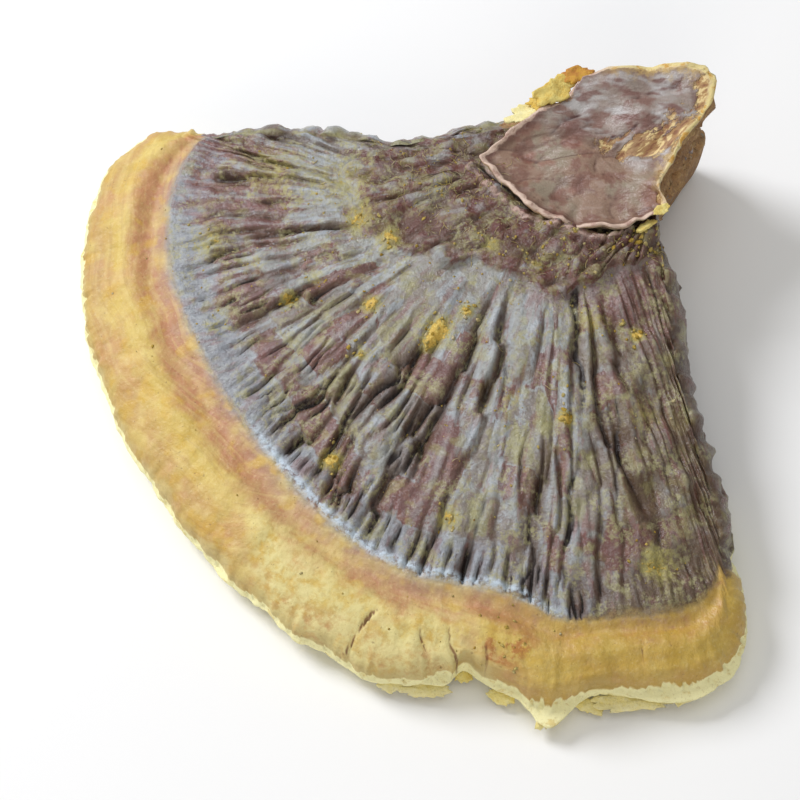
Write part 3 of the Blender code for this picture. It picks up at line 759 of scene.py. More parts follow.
def on_plate(column, share, rise, marks):
    """Return places on the stub's dished plate or on its thin ragged lip."""
    edge = level(column.edge)
    ragged = grains("plate_edge", edge) * smooth(0.55, 1, share)
    spot = mix(np.array(PLATE_MIDDLE), column.edge, share * (1 + ragged))
    flat = level(spot)
    height = plate_slope(*spot.T) + column.edge_rise * share - PLATE_DISH * (1 - share**2) + rise
    height += grains("lip_wave", edge) * smooth(0.6, 1, share)
    x0, y0, x1, y1 = PLATE_FOLD
    above = ((spot[:, 1] - y0) * (x1 - x0) - (spot[:, 0] - x0) * (y1 - y0)) / math.hypot(x1 - x0, y1 - y0)
    above = above + grains("plate_fold", flat)
    upper = smooth(-1.2, 1.6, above)
    step = smooth(-0.7, 0.9, above) + 0.5 * bump(1.2, 1.6, above) - 0.35 * bump(-0.8, 0.8, above)
    folds = valleys(grain(flat * (0.55, 1, 1), 4.2, 6), 0.8)
    crease = scored(PLATE_CREASES, flat)
    relief = 0.9 * (step - 0.7) + (1.1 + 0.9 * upper) * grain(flat * (0.7, 1, 1), 6.5, 36)
    relief += (0.35 + 0.35 * upper) * (folds - 0.5) + grains("plate_skin", flat) - 1.3 * crease
    height += relief * (1 - smooth(0.9, 1.02, share))
    peeled = np.max([hill(spot, *peel) for peel in PEELS], axis=0)
    run_x, run_y = math.cos(math.radians(PEEL_TURN)), math.sin(math.radians(PEEL_TURN))
    streak = np.column_stack((spot @ (run_x, run_y) / 6, spot @ (-run_y, run_x) / 1.3))
    peeled = peeled * (0.86 + grains("peel_streaks", level(streak)))
    height -= PEEL_DEPTH * smooth(0.35, 0.6, peeled)
    far = spot[:, 0] + 0.35 * (spot[:, 1] - 42) + grains("far_side", edge)
    marks.update(zone=upper, torn=peeled, side=smooth(39, 49, far), rib=folds, crease=crease, edge=share)
    return np.column_stack((spot, height))


def lip_height(column):
    """Return how far the plate's lip is turned up at each point round it."""
    return sizes().lip_height / MM * (0.1 + 0.9 * smooth(-0.3, 0.35, grains("lip", level(column.edge))))


def over_lip(column, share, marks):
    """Return places over the plate's lip, back in under it and down its neck to the boss."""
    turn = np.pi * np.clip(share * 2, 0, 1)
    out = LIP_INSIDE + (1 - LIP_INSIDE) * np.sin(turn)
    out = out + (column.neck_share - out) * smooth(0.5, 0.7, share)
    high = lip_height(column)
    rise = (high - LIP_EDGE) / 2 + (high + LIP_EDGE) / 2 * np.cos(turn)
    lip = on_plate(column, out, rise, marks)
    foot = on_cap(column, "boss", np.zeros(len(share)), {})
    marks["edge"] = 1 + share
    return mix(lip, foot, smooth(0.68, 1, share))


def fold(turns):
    """Return leaning folds, 0 in their sharp valleys and 1 on their round crests, which drop to one side."""
    way = turns % 1
    rise = np.sin(0.5 * np.pi * np.minimum(way / CREST_AT, 1))
    drop = np.cos(0.5 * np.pi * np.maximum(way - CREST_AT, 0) / (1 - CREST_AT))
    return np.maximum(rise * drop, 0) ** 0.62


def rings_of(column, from_border):
    """Return for each point its growth ring, and how far it is on the way to the next one outwards."""
    wobble = grains("ring_wobble", level(column.round)) * smooth(-1, -6, from_border)
    place = (from_border + wobble) / (sizes().ring_spacing / MM)
    ring = np.floor(place)
    return ring, place - ring


def per_ring(column, ring, way, size, layer):
    """Return noise round the rim that starts anew in each growth ring."""
    lane = column.round / size
    here, there = (grain(np.column_stack((lane, index * RING_STEP)), 1, layer) for index in (ring, ring + 1))
    return here + (there - here) * smooth(0.84, 1, way)


def tile_tone(rib, ring):
    """Return a tone from 0 to 1 for each stretch of a rib between two growth rings."""
    across, along, scatter = TILE_STEPS
    return (np.sin(rib * across + ring * along) * scatter) % 1


def leaned(tone, places):
    """Return tones of the crust after they lean to those of the places they are in."""
    moved = places[:, :2] + 2 * np.column_stack([grain(places, 4, layer) for layer in (51, 52)])
    for x, y, long, wide, target, strength in LEANINGS:
        tone = tone + (target - tone) * strength * hill(moved, x, y, long, wide)
    return tone


def ribs_of(column, run, flat, from_border, share):
    """Return the wrinkles of the crust: their height in millimetres, their rib and crease marks, and a tone
    that differs from ring to ring. The rib mark falls in the valleys and on each fold's steep side, where the
    crust's colour is darkened as painted shade."""
    x, y = flat[:, 0], flat[:, 1]
    ring, way = rings_of(column, from_border)
    hem = smooth(-9, -5.5, from_border) * (1 - smooth(-0.9, -0.1, from_border))
    kept = 1 - (0.55 + 0.35 * smooth(-10, 4, y)) * smooth(31, 42, x)
    few = 1 - 0.55 * smooth(0, 22, x - 0.4 * y)
    some = few + (1 - few) * hem
    plain = smooth(-4.2, -1.6, from_border + grains("plain_hem", flat)) * smooth(8, -12, x)
    quiet = (1 - 0.55 * hem * smooth(-18, -36, x)) * (1 - 0.65 * plain * column.fan)
    weights = (
        smooth(0, 0.16, share) * (1 - 0.3 * smooth(0.6, 0.95, share)) * (1 - 0.5 * hem),
        smooth(0.12, 0.45, share) * kept * (0.45 + 0.55 * some),
        smooth(0.35, 0.7, share) * kept * some,
        hem,
    )
    tone = 0.5 + 0.55 * per_ring(column, ring, way, 13, 40)
    height = np.zeros(len(run))
    rib = np.ones(len(run))
    crease = np.zeros(len(run))
    for layer, ((number, high, least, dark, tint), weight) in enumerate(zip(FOLDS, weights)):
        wide = RIM_ROUND / number
        lane = unrolled(column, run, 2.1 * wide, 3.4 * wide)
        wander = (0.65 - 0.05 * layer) * grain(lane, 1, layer + 2) + 0.3 * grain(lane * 2.3, 1, layer + 50)
        turns = column.turns * number + wander + 0.42 * per_ring(column, ring, way, 1.5 * wide, layer + 30)
        strong = 0.8 + 1.5 * grain(unrolled(column, run, 1.5 * wide, 2.6 * wide), 1, layer + 12)
        strong = np.clip(strong, least, 1.6)
        folds = fold(turns)
        height += sizes().rib_height * high * weight * strong * (folds - 0.75)
        dim = weight * np.minimum(strong, 1)
        # The rib mark falls in each valley, so that the crust paints it darker: painted shade.
        rib *= 1 - dim * (1 - folds) * dark
        # Painted shade: the steep drop of each fold with a tone, on the side away from the window light, is
        # darkened.
        rib *= 1 - 0.5 * dim * smooth(0.66, 0.88, turns % 1) * (tint > 0)
        away = np.minimum(turns % 1, -turns % 1) * wide * (0.45 + 0.55 * share)
        cut = smooth(0.75, 1.25, strong + 0.3 * hem) * bump(0, CUT_HALF, away) * weight * (layer < 3)
        crease = np.maximum(crease, cut * (0.35 + 0.65 * some))
        tone += tint * (tile_tone(np.floor(turns), ring) - 0.5)
    swell = sizes().ring_swell / MM * (smooth(0, 0.8, way) - smooth(0.84, 1, way)) * smooth(0.1, 0.3, share)
    height += swell * (0.6 + grains("ring_swell", flat))
    height += 0.4 * grain(unrolled(column, run, 5, 2.8), 1, 8) * smooth(0, 0.2, share)
    tone += 0.16 * (ring == -2)
    tone += 0.28 * bump(-10, 3, from_border + grains("maroon_ring", flat)) * smooth(-6, -22, x)
    tone += (0.52 - tone) * 0.7 * smooth(-8.4, -6.2, from_border + grains("grey_hem", flat)) * column.pale
    spread = (0.45 + 0.55 * column.fan) * (1 - 0.35 * smooth(38, 50, x))
    spread = spread * (1 - 0.45 * smooth(22, 42, y) * smooth(-4, -22, x)) * quiet
    rib = 1 - (1 - rib) * quiet
    return (height - 0.3 * crease) * spread, rib, crease * spread, leaned(tone, flat)


def side_folds(column, run):
    """Return the wrinkles of the bracket's bare sides, from about -1 to 1, which run on over its rim."""
    return sum(
        high * grain(unrolled(column, run, wide, long), 1, layer) for high, wide, long, layer in SIDE_FOLDS
    )


def on_cap(column, zone, share, marks):
    """Return places on the boss, the crust or the margin, or on the torn wall where the stub falls down."""
    first, last = CAP_LINES[zone]
    spot = mix(getattr(column, first), getattr(column, last), share)
    x, y = spot.T
    flat = level(spot)
    height = dome(x, y)
    fan, wall = column.fan, column.wall
    if zone == "boss":
        from_neck = share * column.boss_length
        from_border = from_neck - column.boss_length - column.crust_length
        crumbled = pushed(flat, 1.5, 5, (44, 45, 46))
        clods = valleys(grain(unrolled(column, from_neck, 20, 7), 1, 43) + 0.3 * grain(crumbled, 4, 4), 0.7)
        crumbs = valleys(grain(crumbled, 3, 5), 0.8)
        rough = lumps(BOSS_LUMPS, x, y) + (clods - 0.6) + 0.4 * (crumbs - 0.6) + grains("boss_skin", flat)
        ledge = LEDGE_HEIGHT * smooth(0, 0.5, share) * (1 - smooth(0.93, 1, share))
        height += ledge * (0.85 + grains("broken_ledge", flat))
        height += rough * smooth(0, 0.15, share) * (1 - 0.5 * smooth(0.9, 1, share))
        from_neck = from_neck + grains("shelf", flat)
        height += SHELF_HEIGHT * (1 - smooth(3.5, 4.2, from_neck)) * smooth(0.8, 2.6, from_neck) * fan
        marks["edge"] = bump(3.3, 0.55, from_neck) * fan
        # The crease mark darkens the boss just under the plate's lip: painted shadow.
        crease = 0.9 * smooth(2.2, 0.6, from_neck) * fan
        rib = (0.35 + 0.65 * clods) * (0.45 + 0.55 * crumbs)
        tone = leaned(0.5 + grains("boss_tone", flat), flat)
    elif zone == "crust":
        from_border = -(1 - share) * column.crust_length
        wrinkles, rib, crease, tone = ribs_of(column, share * column.crust_length, flat, from_border, share)
        crease = np.maximum(crease, scored(CREASES, flat) * sizes().crease_depth)
        ring = RING_DEPTH * bump(*RING_AT, share) * fan
        rough = 0.45 * (valleys(grain(flat, 7.5, 4), 0.9) - 0.6) + grains("ledge_foot", flat)
        rough = rough * (1 - smooth(0, 0.25, share)) + grains("crust_skin", flat)
        rough += grains("right_lumps", flat) * smooth(34, 44, x)
        bare = (1 - fan) * smooth(0.55, 0.9, share)
        folds = side_folds(column, from_border + column.crust_length)
        height += (wrinkles + lumps(CRUST_LUMPS, x, y) - ring - 0.7 * crease + rough) * (1 - bare)
        height += HEM_HEIGHT * bump(-0.7, 0.55, from_border) * fan + folds * bare
        height += DUST_HEIGHT * smooth(0.7, 1.3, dusted(flat) + grains("dust_heaps", flat))
        rib = rib + (0.6 + 0.5 * folds - rib) * bare
        crease = crease * (1 - bare)
    else:
        from_border = share * column.margin_length
        folds = side_folds(column, from_border + column.crust_length) * (1 - fan)
        rib = 0.6 + 0.5 * folds
        full = smooth(3.5, 11, column.margin_length)
        rolled = (ROLL_HEIGHT * bump(*ROLL_AT, share) - GROOVE_DEPTH * bump(*GROOVE_AT, share)) * full
        soft = grains("margin_waves", level(column.rim)) * smooth(0.15, 0.6, share)
        rings = 0.2 * grain(unrolled(column, from_border, 30, 1.7), 1, 4)
        crease = scored(CRACKS, flat)
        fine = grains("margin_skin", flat) - 0.18 * bump(0, 0.5, from_border)
        height += (rolled + soft + rings - crease + fine) * fan + folds
    top = plate_slope(*column.neck.T) - LIP_THICKNESS - WALL_STEP
    start, end = WALL_SHARES[zone]
    way = start + share * (end - start)
    height = height + (top + (column.middle + WALL_STEP - top) * way - height) * wall
    face = np.column_stack((column.rim, height))
    bent = pushed(face, 1.6, 4, (31, 32, 33))
    strips = valleys(grain(bent * (1, 1, 0.22), 1.8, 2), 0.6) - 0.5
    pulled = 1.1 * strips + grains("torn_wall", face) + grains("torn_strips", bent)
    spot = spot + column.out * (pulled * wall * smooth(0, 0.08, way))[:, None]
    run = from_border + column.crust_length
    marks.update(
        border=from_border - CRUST_OVER * crust_end(column, face),
        band=np.maximum(from_border, 0) / (column.margin_length + ROUNDING * column.rim_length),
        rib=rib + (strips + 0.5 - rib) * wall,
        crease=crease,
        torn=wall,
        run=run,
        boss=1 - smooth(-2, 3.5, run + grains("boss_end", flat)),
        dust=dusted(flat) * (1 - wall),
        # Where a painted glint, a pale bluish reflection, lies along the crust's front hem.
        frost=smooth(-34, -22, x) * (1 - smooth(22, 30, x)) * smooth(0, -12, y),
    )
    if zone == "margin":
        marks["zone"], marks["side"] = margin_tones(x, y)
    else:
        marks["zone"], marks["side"] = tone, smooth(28, 45, x + grains("side_start", flat))
    return np.column_stack((spot, height))


def crust_end(column, face):
    """Return how far the crust runs on over the rim, with a ragged end where the margin stops."""
    bare = 1 - pale_at(column.station, smooth(9, 3.5, face[:, 2]))
    return np.clip(bare + bare * (1 - bare) * grains("ragged_end", face), 0, 1)


def pale_at(stations, low):
    """Return where round the rim the margin shows, which reaches further round where the rim is low."""
    turned = (stations + 10) % len(OUTLINE) - 10 + 2 * low
    return smooth(-1.1, 0.9, turned) * (1 - smooth(FAN_END - 1.3, FAN_END + 0.9, stations - 2.2 * low))


def margin_tones(x, y):
    """Return where the margin is a paler cream, at its lower left, and where a deeper gold, at its right."""
    moved = x + grains("margin_tones", level(np.column_stack((x, y))))
    cream = smooth(-34, -22, moved) * (1 - smooth(8, 18, moved))
    return cream * smooth(-12, -24, y), smooth(14, 30, moved)


def on_rim(column, share, marks):
    """Return places round the rim: over the golden roll and the tube layer under it to the outermost line,
    then back in under it to the lip."""
    turn = (0.5 - share) * np.pi
    upper, lower = np.maximum(turn, 0), np.minimum(turn, 0)
    on_top = turn > 0
    fan, wall, place = column.fan, column.wall, level(column.rim)
    shoulder = on_cap(column, "margin", np.ones(len(share)), {})
    before = on_cap(column, "margin", np.full(len(share), 0.9), {})
    width = np.maximum(lengths_of(column.rim - shoulder[:, :2]), 0.05)
    step = np.maximum(lengths_of(shoulder[:, :2] - before[:, :2]), 0.05)
    lifted = np.maximum(shoulder[:, 2] - column.middle, 0.05)
    slope = np.clip((before[:, 2] - shoulder[:, 2]) / step * width / lifted, 0, 0.85)
    shown = smooth(17.5, 21, column.station) * (1 - smooth(29, 31, column.station))
    tube = (width - ROLL_WIDE) * shown + TUBE_LEAST * (0.4 + 0.9 * shown) + grains("ragged_tubes", place)
    tube = np.clip(tube, 0.15, None) * (1 - wall)
    tube = np.maximum(np.minimum(tube, 0.7 * width), 0.01)
    from_rim = (1 - np.cos(upper)) * width
    way = np.clip((from_rim - tube) / (width - tube), 0, 1)
    over_roll = (1 - slope) * np.sqrt(1 - (1 - way) ** 2) + slope * way
    tube_top = np.minimum(0.22, 0.5 / lifted) * (1 - wall)
    rise = tube_top * np.sqrt(np.clip(from_rim / tube, 0, 1)) + (1 - tube_top) * over_roll
    notch = NOTCH_DEPTH * bump(0, 0.3, from_rim - tube) * (1 - wall) * (0.2 + 0.8 * shown) * on_top
    over = mix(shoulder[:, :2], column.rim, np.cos(upper))
    under = column.rim - column.out * (column.tuck * (1 - np.cos(lower)))[:, None]
    spot = np.where(on_top[:, None], over, under)
    height = column.middle + rise * lifted * on_top + (column.middle - column.lip) * np.sin(lower)
    face = np.column_stack((column.rim, height))
    bent = height + 1.3 * grain(face * (1, 1, 0.4), 7, 9) + 0.4 * grain(face, 2, 10)
    layers = grain(unrolled(column, bent, 22, 2.3), 1, 11)
    arc = np.hypot(width, lifted) * np.minimum(share * 2, 1)
    arc += np.hypot(column.tuck, column.middle - column.lip) * np.maximum(share * 2 - 1, 0)
    run = column.crust_length + column.margin_length + QUARTER_ARC * arc
    folds = side_folds(column, run)
    crack = scored(CRACKS, level(spot)) * fan * on_top
    bare = (1 - fan) * np.cos(turn) * (1.1 * folds + 0.6 * layers + grains("side_skin", face))
    bulge = grains("rim_bulge", np.column_stack((column.rim, share * 5))) + bare
    seam = 0.4 * bump(0.66, 0.07, share) * (1 + grains("seam", place))
    spot = spot + column.out * ((bulge * np.cos(turn) - seam - notch) * (1 - wall))[:, None]
    around = ROUNDING * width
    band = (column.margin_length + around * np.minimum(share * 2, 1)) / (column.margin_length + around)
    cream, gold = margin_tones(*column.rim.T)
    marks.update(
        border=column.margin_length + around * share * 2 - CRUST_OVER * crust_end(column, face),
        run=run,
        band=band + np.maximum(share - 0.5, 0),
        tube=np.where(on_top, smooth(0.25, -0.15, from_rim - tube), 1) * (1 - wall),
        torn=wall,
        rib=0.6 + 0.5 * folds * (1 - fan),
        # The thin dark line where the golden roll overhangs the tube layer is painted shadow, and the cracks
        # painted shade.
        crease=np.maximum(0.12 * bump(0, 0.25, from_rim - tube) * on_top * shown, crack),
        zone=(0.62 + 0.8 * layers + grains("side_tone", face)) * (1 - fan) + cream * fan,
        side=smooth(30, 42, spot[:, 0]) * (1 - fan) + gold * fan,
    )
    return np.column_stack((spot, height - 0.6 * crack))


def on_tuck(column, share, marks):
    """Return places on the inner side of the rim's lip, where the pore face starts."""
    start = on_rim(column, np.ones(len(share)), marks)
    end = mix(np.array(UNDER_MIDDLE), column.rim, np.full(len(share), UNDER_EDGE))
    marks["under"] = smooth(0, 0.3, share)
    return mix(start, np.column_stack((end, LIP_INNER * column.lip)), share)


def on_under(column, share, marks):
    """Return places on the pore face, which lies on the ground with most of its middle."""
    size = UNDER_EDGE * (1 - share)
    spot = mix(np.array(UNDER_MIDDLE), column.rim, size)
    lifted = LIP_INNER * column.lip * smooth(UNDER_FLAT, UNDER_EDGE, size)
    hollow = np.maximum(grains("hollows", level(spot)), 0) * smooth(0, 0.1, share)
    marks.update(under=np.ones(len(share)), rib=0.5 + grains("pore_face", level(spot)))
    return np.column_stack((spot, lifted + hollow))


def zone_rows():
    """Return the first and the last row of the ball for each zone."""
    edges = np.cumsum([0] + [rows for name, rows, splits in ZONES])
    return {name: (edges[i], edges[i + 1]) for i, (name, rows, splits) in enumerate(ZONES)}


def on_zone(zone, column, share, marks):
    """Return places in one zone of the ball, each at its share of the way across it."""
    if zone == "plate":
        return on_plate(column, share * LIP_INSIDE, lip_height(column) * smooth(0.9, 1, share), marks)
    if zone == "inner":
        return on_cap(column, "crust", share * CRUST_SPLIT, marks)
    if zone == "outer":
        return on_cap(column, "crust", CRUST_SPLIT + share * (1 - CRUST_SPLIT), marks)
    if zone in CAP_LINES:
        return on_cap(column, zone, share, marks)
    return {"lip": over_lip, "rim": on_rim, "tuck": on_tuck, "under": on_under}[zone](column, share, marks)


def press(column_index, row):
    """Return the bracket's place for each point of the ball, and the marks that its materials read."""
    table = make_columns(BALL_COLUMNS * COLUMN_SPLITS)
    places = np.zeros((len(row), 3))
    marks = {name: np.zeros(len(row)) for name in MARKS}
    for zone, (first, last) in zone_rows().items():
        inside = (row >= first) & ((row < last) | (zone == ZONES[-1][0]))
        column = SimpleNamespace(**{name: values[column_index[inside]] for name, values in table.items()})
        found = {}
        places[inside] = on_zone(zone, column, (row[inside] - first) / (last - first), found)
        for name, values in found.items():
            marks[name][inside] = values
    marks["lane"] = np.column_stack((table["round"][column_index], marks["run"]))
    return places, marks


def row_at(height):
    """Return the row of the ball at each height, where its radius is 1."""
    rows = np.arange(sum(rows for name, rows, splits in ZONES) + 1)
    return np.interp(-np.asarray(height), -np.cos(np.pi * rows / rows[-1]), rows)


def split_ball(ball):
    """Split the faces of the ball finer in the zones that need it."""
    rows = zone_rows()
    bpy.ops.object.mode_set(mode="EDIT")
    for times in (1, 2):
        mesh = bmesh.from_edit_mesh(ball.data)
        wanted = [rows[name] for name, count, splits in ZONES if splits >= times]
        middles = row_at([face.calc_center_median().z for face in mesh.faces])
        for face, row in zip(mesh.faces, middles):
            face.select_set(bool(wanted[0][0] < row < wanted[-1][1]))
        bmesh.update_edit_mesh(ball.data)
        bpy.ops.mesh.subdivide(number_cuts=1)
    bpy.ops.mesh.select_all(action="DESELECT")
    bpy.ops.object.mode_set(mode="OBJECT")


def fit_to_box(places, box, gap):
    """Return the places stretched slightly so that they just fill a box, less a gap at its sides and top."""
    low, high = places.min(axis=0), places.max(axis=0)
    box_low = box[0] + (gap, gap, 0)
    return box_low + (places - low) * (box[1] - gap - box_low) / (high - low)


def slots_of(body, row, marks):
    """Return the material slot of each face: the plate, the pore face, the bare crust, the bare margin, and
    the stretch where crust, margin and torn flesh meet."""
    rows = zone_rows()
    corners = np.zeros(len(body.data.loops), int)
    body.data.loops.foreach_get("vertex_index", corners)
    starts = np.zeros(len(body.data.polygons), int)
    body.data.polygons.foreach_get("loop_start", starts)
    middle = np.add.reduceat(row[corners], starts) / np.diff(np.append(starts, len(corners)))
    border = marks["border"][corners]
    whole = np.maximum.reduceat(marks["torn"][corners], starts) <= 0
    slots = np.full(len(starts), SLOTS.index("meeting"))
    slots[whole & (np.minimum.reduceat(border, starts) > MEETING)] = SLOTS.index("margin")
    slots[whole & (np.maximum.reduceat(border, starts) < -MEETING)] = SLOTS.index("crust")
    slots[middle > rows["tuck"][0] + 0.5] = SLOTS.index("pores")
    slots[middle < rows["lip"][0] + 1] = SLOTS.index("plate")
    return slots


def make_body():
    """Make the bracket: a ball with its rows split where detail is fine, pressed into the bracket's form."""
    bpy.ops.object.select_all(action="DESELECT")
    rows = sum(rows for name, rows, splits in ZONES)
    bpy.ops.mesh.primitive_uv_sphere_add(segments=BALL_COLUMNS, ring_count=rows, radius=1, location=(0, 0, 0))
    body = bpy.context.object
    body.name = "reishi_body"
    split_ball(body)
    ball = points_of(body.data)
    columns = BALL_COLUMNS * COLUMN_SPLITS
    turn = np.arctan2(ball[:, 1], ball[:, 0]) / (2 * math.pi)
    row = row_at(np.clip(ball[:, 2], -1, 1))
    places, marks = press(np.rint(turn * columns).astype(int) % columns, row)
    put_points(body.data, fit_to_box(places * MM, CAD_BOX, BOX_GAP))
    for name in MARKS:
        body.data.attributes.new(name, "FLOAT", "POINT").data.foreach_set("value", marks[name])
    lane = body.data.attributes.new("lane", "FLOAT_VECTOR", "POINT")
    lane.data.foreach_set("vector", marks["lane"].ravel())
    for slot in SLOTS:
        body.data.materials.append(material_of(*SKINS[slot]))
    body.data.polygons.foreach_set("material_index", slots_of(body, row, marks))
    body.data.shade_smooth()
    body.data.update()
    return body


def plug(tree, value, socket):
    """Set an input to a value, or link it to a socket or to a node's first output."""
    if isinstance(value, bpy.types.Node):
        value = next(output for output in value.outputs if output.enabled)
    if isinstance(value, bpy.types.NodeSocket):
        tree.links.new(value, socket)
    else:
        socket.default_value = value


def add_node(tree, kind, inputs=(), **settings):
    """Add a node with its settings, and set or link its inputs."""
    made = tree.nodes.new(kind)
    for name, value in settings.items():
        setattr(made, name, value)
    for key, value in dict(inputs).items():
        plug(tree, value, made.inputs[key])
    return made


class Marks(dict):
    """The marks of a mesh, each read by one node that is added when it is first asked for."""

    def __init__(self, tree):
        self.tree = tree

    def __missing__(self, name):
        self[name] = add_node(self.tree, "ShaderNodeAttribute", attribute_name=name).outputs["Fac"]
        return self[name]


class Surface:
    """The places and marks that the looks of one material read, with patterns sized in millimetres. A pattern
    lies on the object's own place unless it is laid on another."""

    def __init__(self, tree):
        self.tree = tree
        place = add_node(tree, "ShaderNodeTexCoord").outputs["Object"]
        self.place = add_node(tree, "ShaderNodeVectorMath", {0: place, "Scale": 1 / MM}, operation="SCALE")
        self.lane = add_node(tree, "ShaderNodeAttribute", attribute_name="lane").outputs["Vector"]
        self.marks = Marks(tree)
        self.colours = bpy.context.scene.reishi_colours

    def stretched(self, place, *stretch):
        """Return a place squeezed along each axis, so that a pattern on it is drawn out by these factors."""
        shares = [1 / factor for factor in stretch]
        return add_node(self.tree, "ShaderNodeVectorMath", {0: place, 1: shares}, operation="MULTIPLY")

    def cloud(self, size, detail=2, roughness=0.55, layer=0, on=None):
        """Return soft noise from 0 to 1 with lumps of one size."""
        inputs = {0: on or self.place, 1: [1 / size] * 3, 2: [layer * step for step in LAYER_STEP]}
        moved = add_node(self.tree, "ShaderNodeVectorMath", inputs, operation="MULTIPLY_ADD")
        inputs = {"Vector": moved, "Scale": 1, "Detail": detail, "Roughness": roughness}
        return add_node(self.tree, "ShaderNodeTexNoise", inputs)

    def ramp(self, value, low, high, start=0, end=1):
        """Return a soft ramp from start to end while the value goes from low to high."""
        inputs = {"Value": value, "From Min": low, "From Max": high, "To Min": start, "To Max": end}
        return add_node(self.tree, "ShaderNodeMapRange", inputs, interpolation_type="SMOOTHSTEP")

    def patches(self, size, low, high, amount=1, detail=2, layer=0, on=None):
        """Return a mask of soft patches of one size."""
        return self.ramp(self.cloud(size, detail, layer=layer, on=on), low, high, 0, amount)

    def times(self, product, *values):
        """Return the product of some masks or numbers."""
        for value in values:
            product = add_node(self.tree, "ShaderNodeMath", {0: product, 1: value}, operation="MULTIPLY")
        return product

    def pile(self, total, *layers):
        """Return a start plus its layers, each a pair of a value and how much of it counts."""
        for value, amount in layers:
            inputs = {0: value, 1: amount, 2: total}
            total = add_node(self.tree, "ShaderNodeMath", inputs, operation="MULTIPLY_ADD")
        return total

    def paint(self, result, *layers):
        """Return a colour with layers laid over it, each a mask, or masks to multiply, and a colour."""
        for mask, colour in layers:
            mask = self.times(*mask) if isinstance(mask, tuple) else mask
            inputs = {"Factor": mask, 6: self.colour(result), 7: self.colour(colour)}
            result = add_node(self.tree, "ShaderNodeMix", inputs, data_type="RGBA")
        return result

    def colour(self, value):
        """Return what an input takes for a colour, from a hex code, a colour setting or a link."""
        if isinstance(value, str):
            value = linear(value)
        return (*value, 1) if isinstance(value, (list, Color)) else value

    def grade(self, value, *stops):
        """Return a colour that follows a value from 0 to 1 through stops, each a place and a hex code."""
        graded = add_node(self.tree, "ShaderNodeValToRGB", {"Fac": value})
        elements = graded.color_ramp.elements
        while len(elements) < len(stops):
            elements.new(0.5)
        for element, (place, code) in zip(elements, stops):
            element.position = place
            element.color = (*linear(code), 1)
        return graded

    def blend(self, mask, first, second):
        """Return one look on the way to another, each look a colour, a roughness and a height."""
        numbers = [
            add_node(self.tree, "ShaderNodeMix", {"Factor": mask, 2: low, 3: high}, data_type="FLOAT")
            for low, high in zip(first[1:], second[1:])
        ]
        return (self.paint(first[0], (mask, second[0])), *numbers)


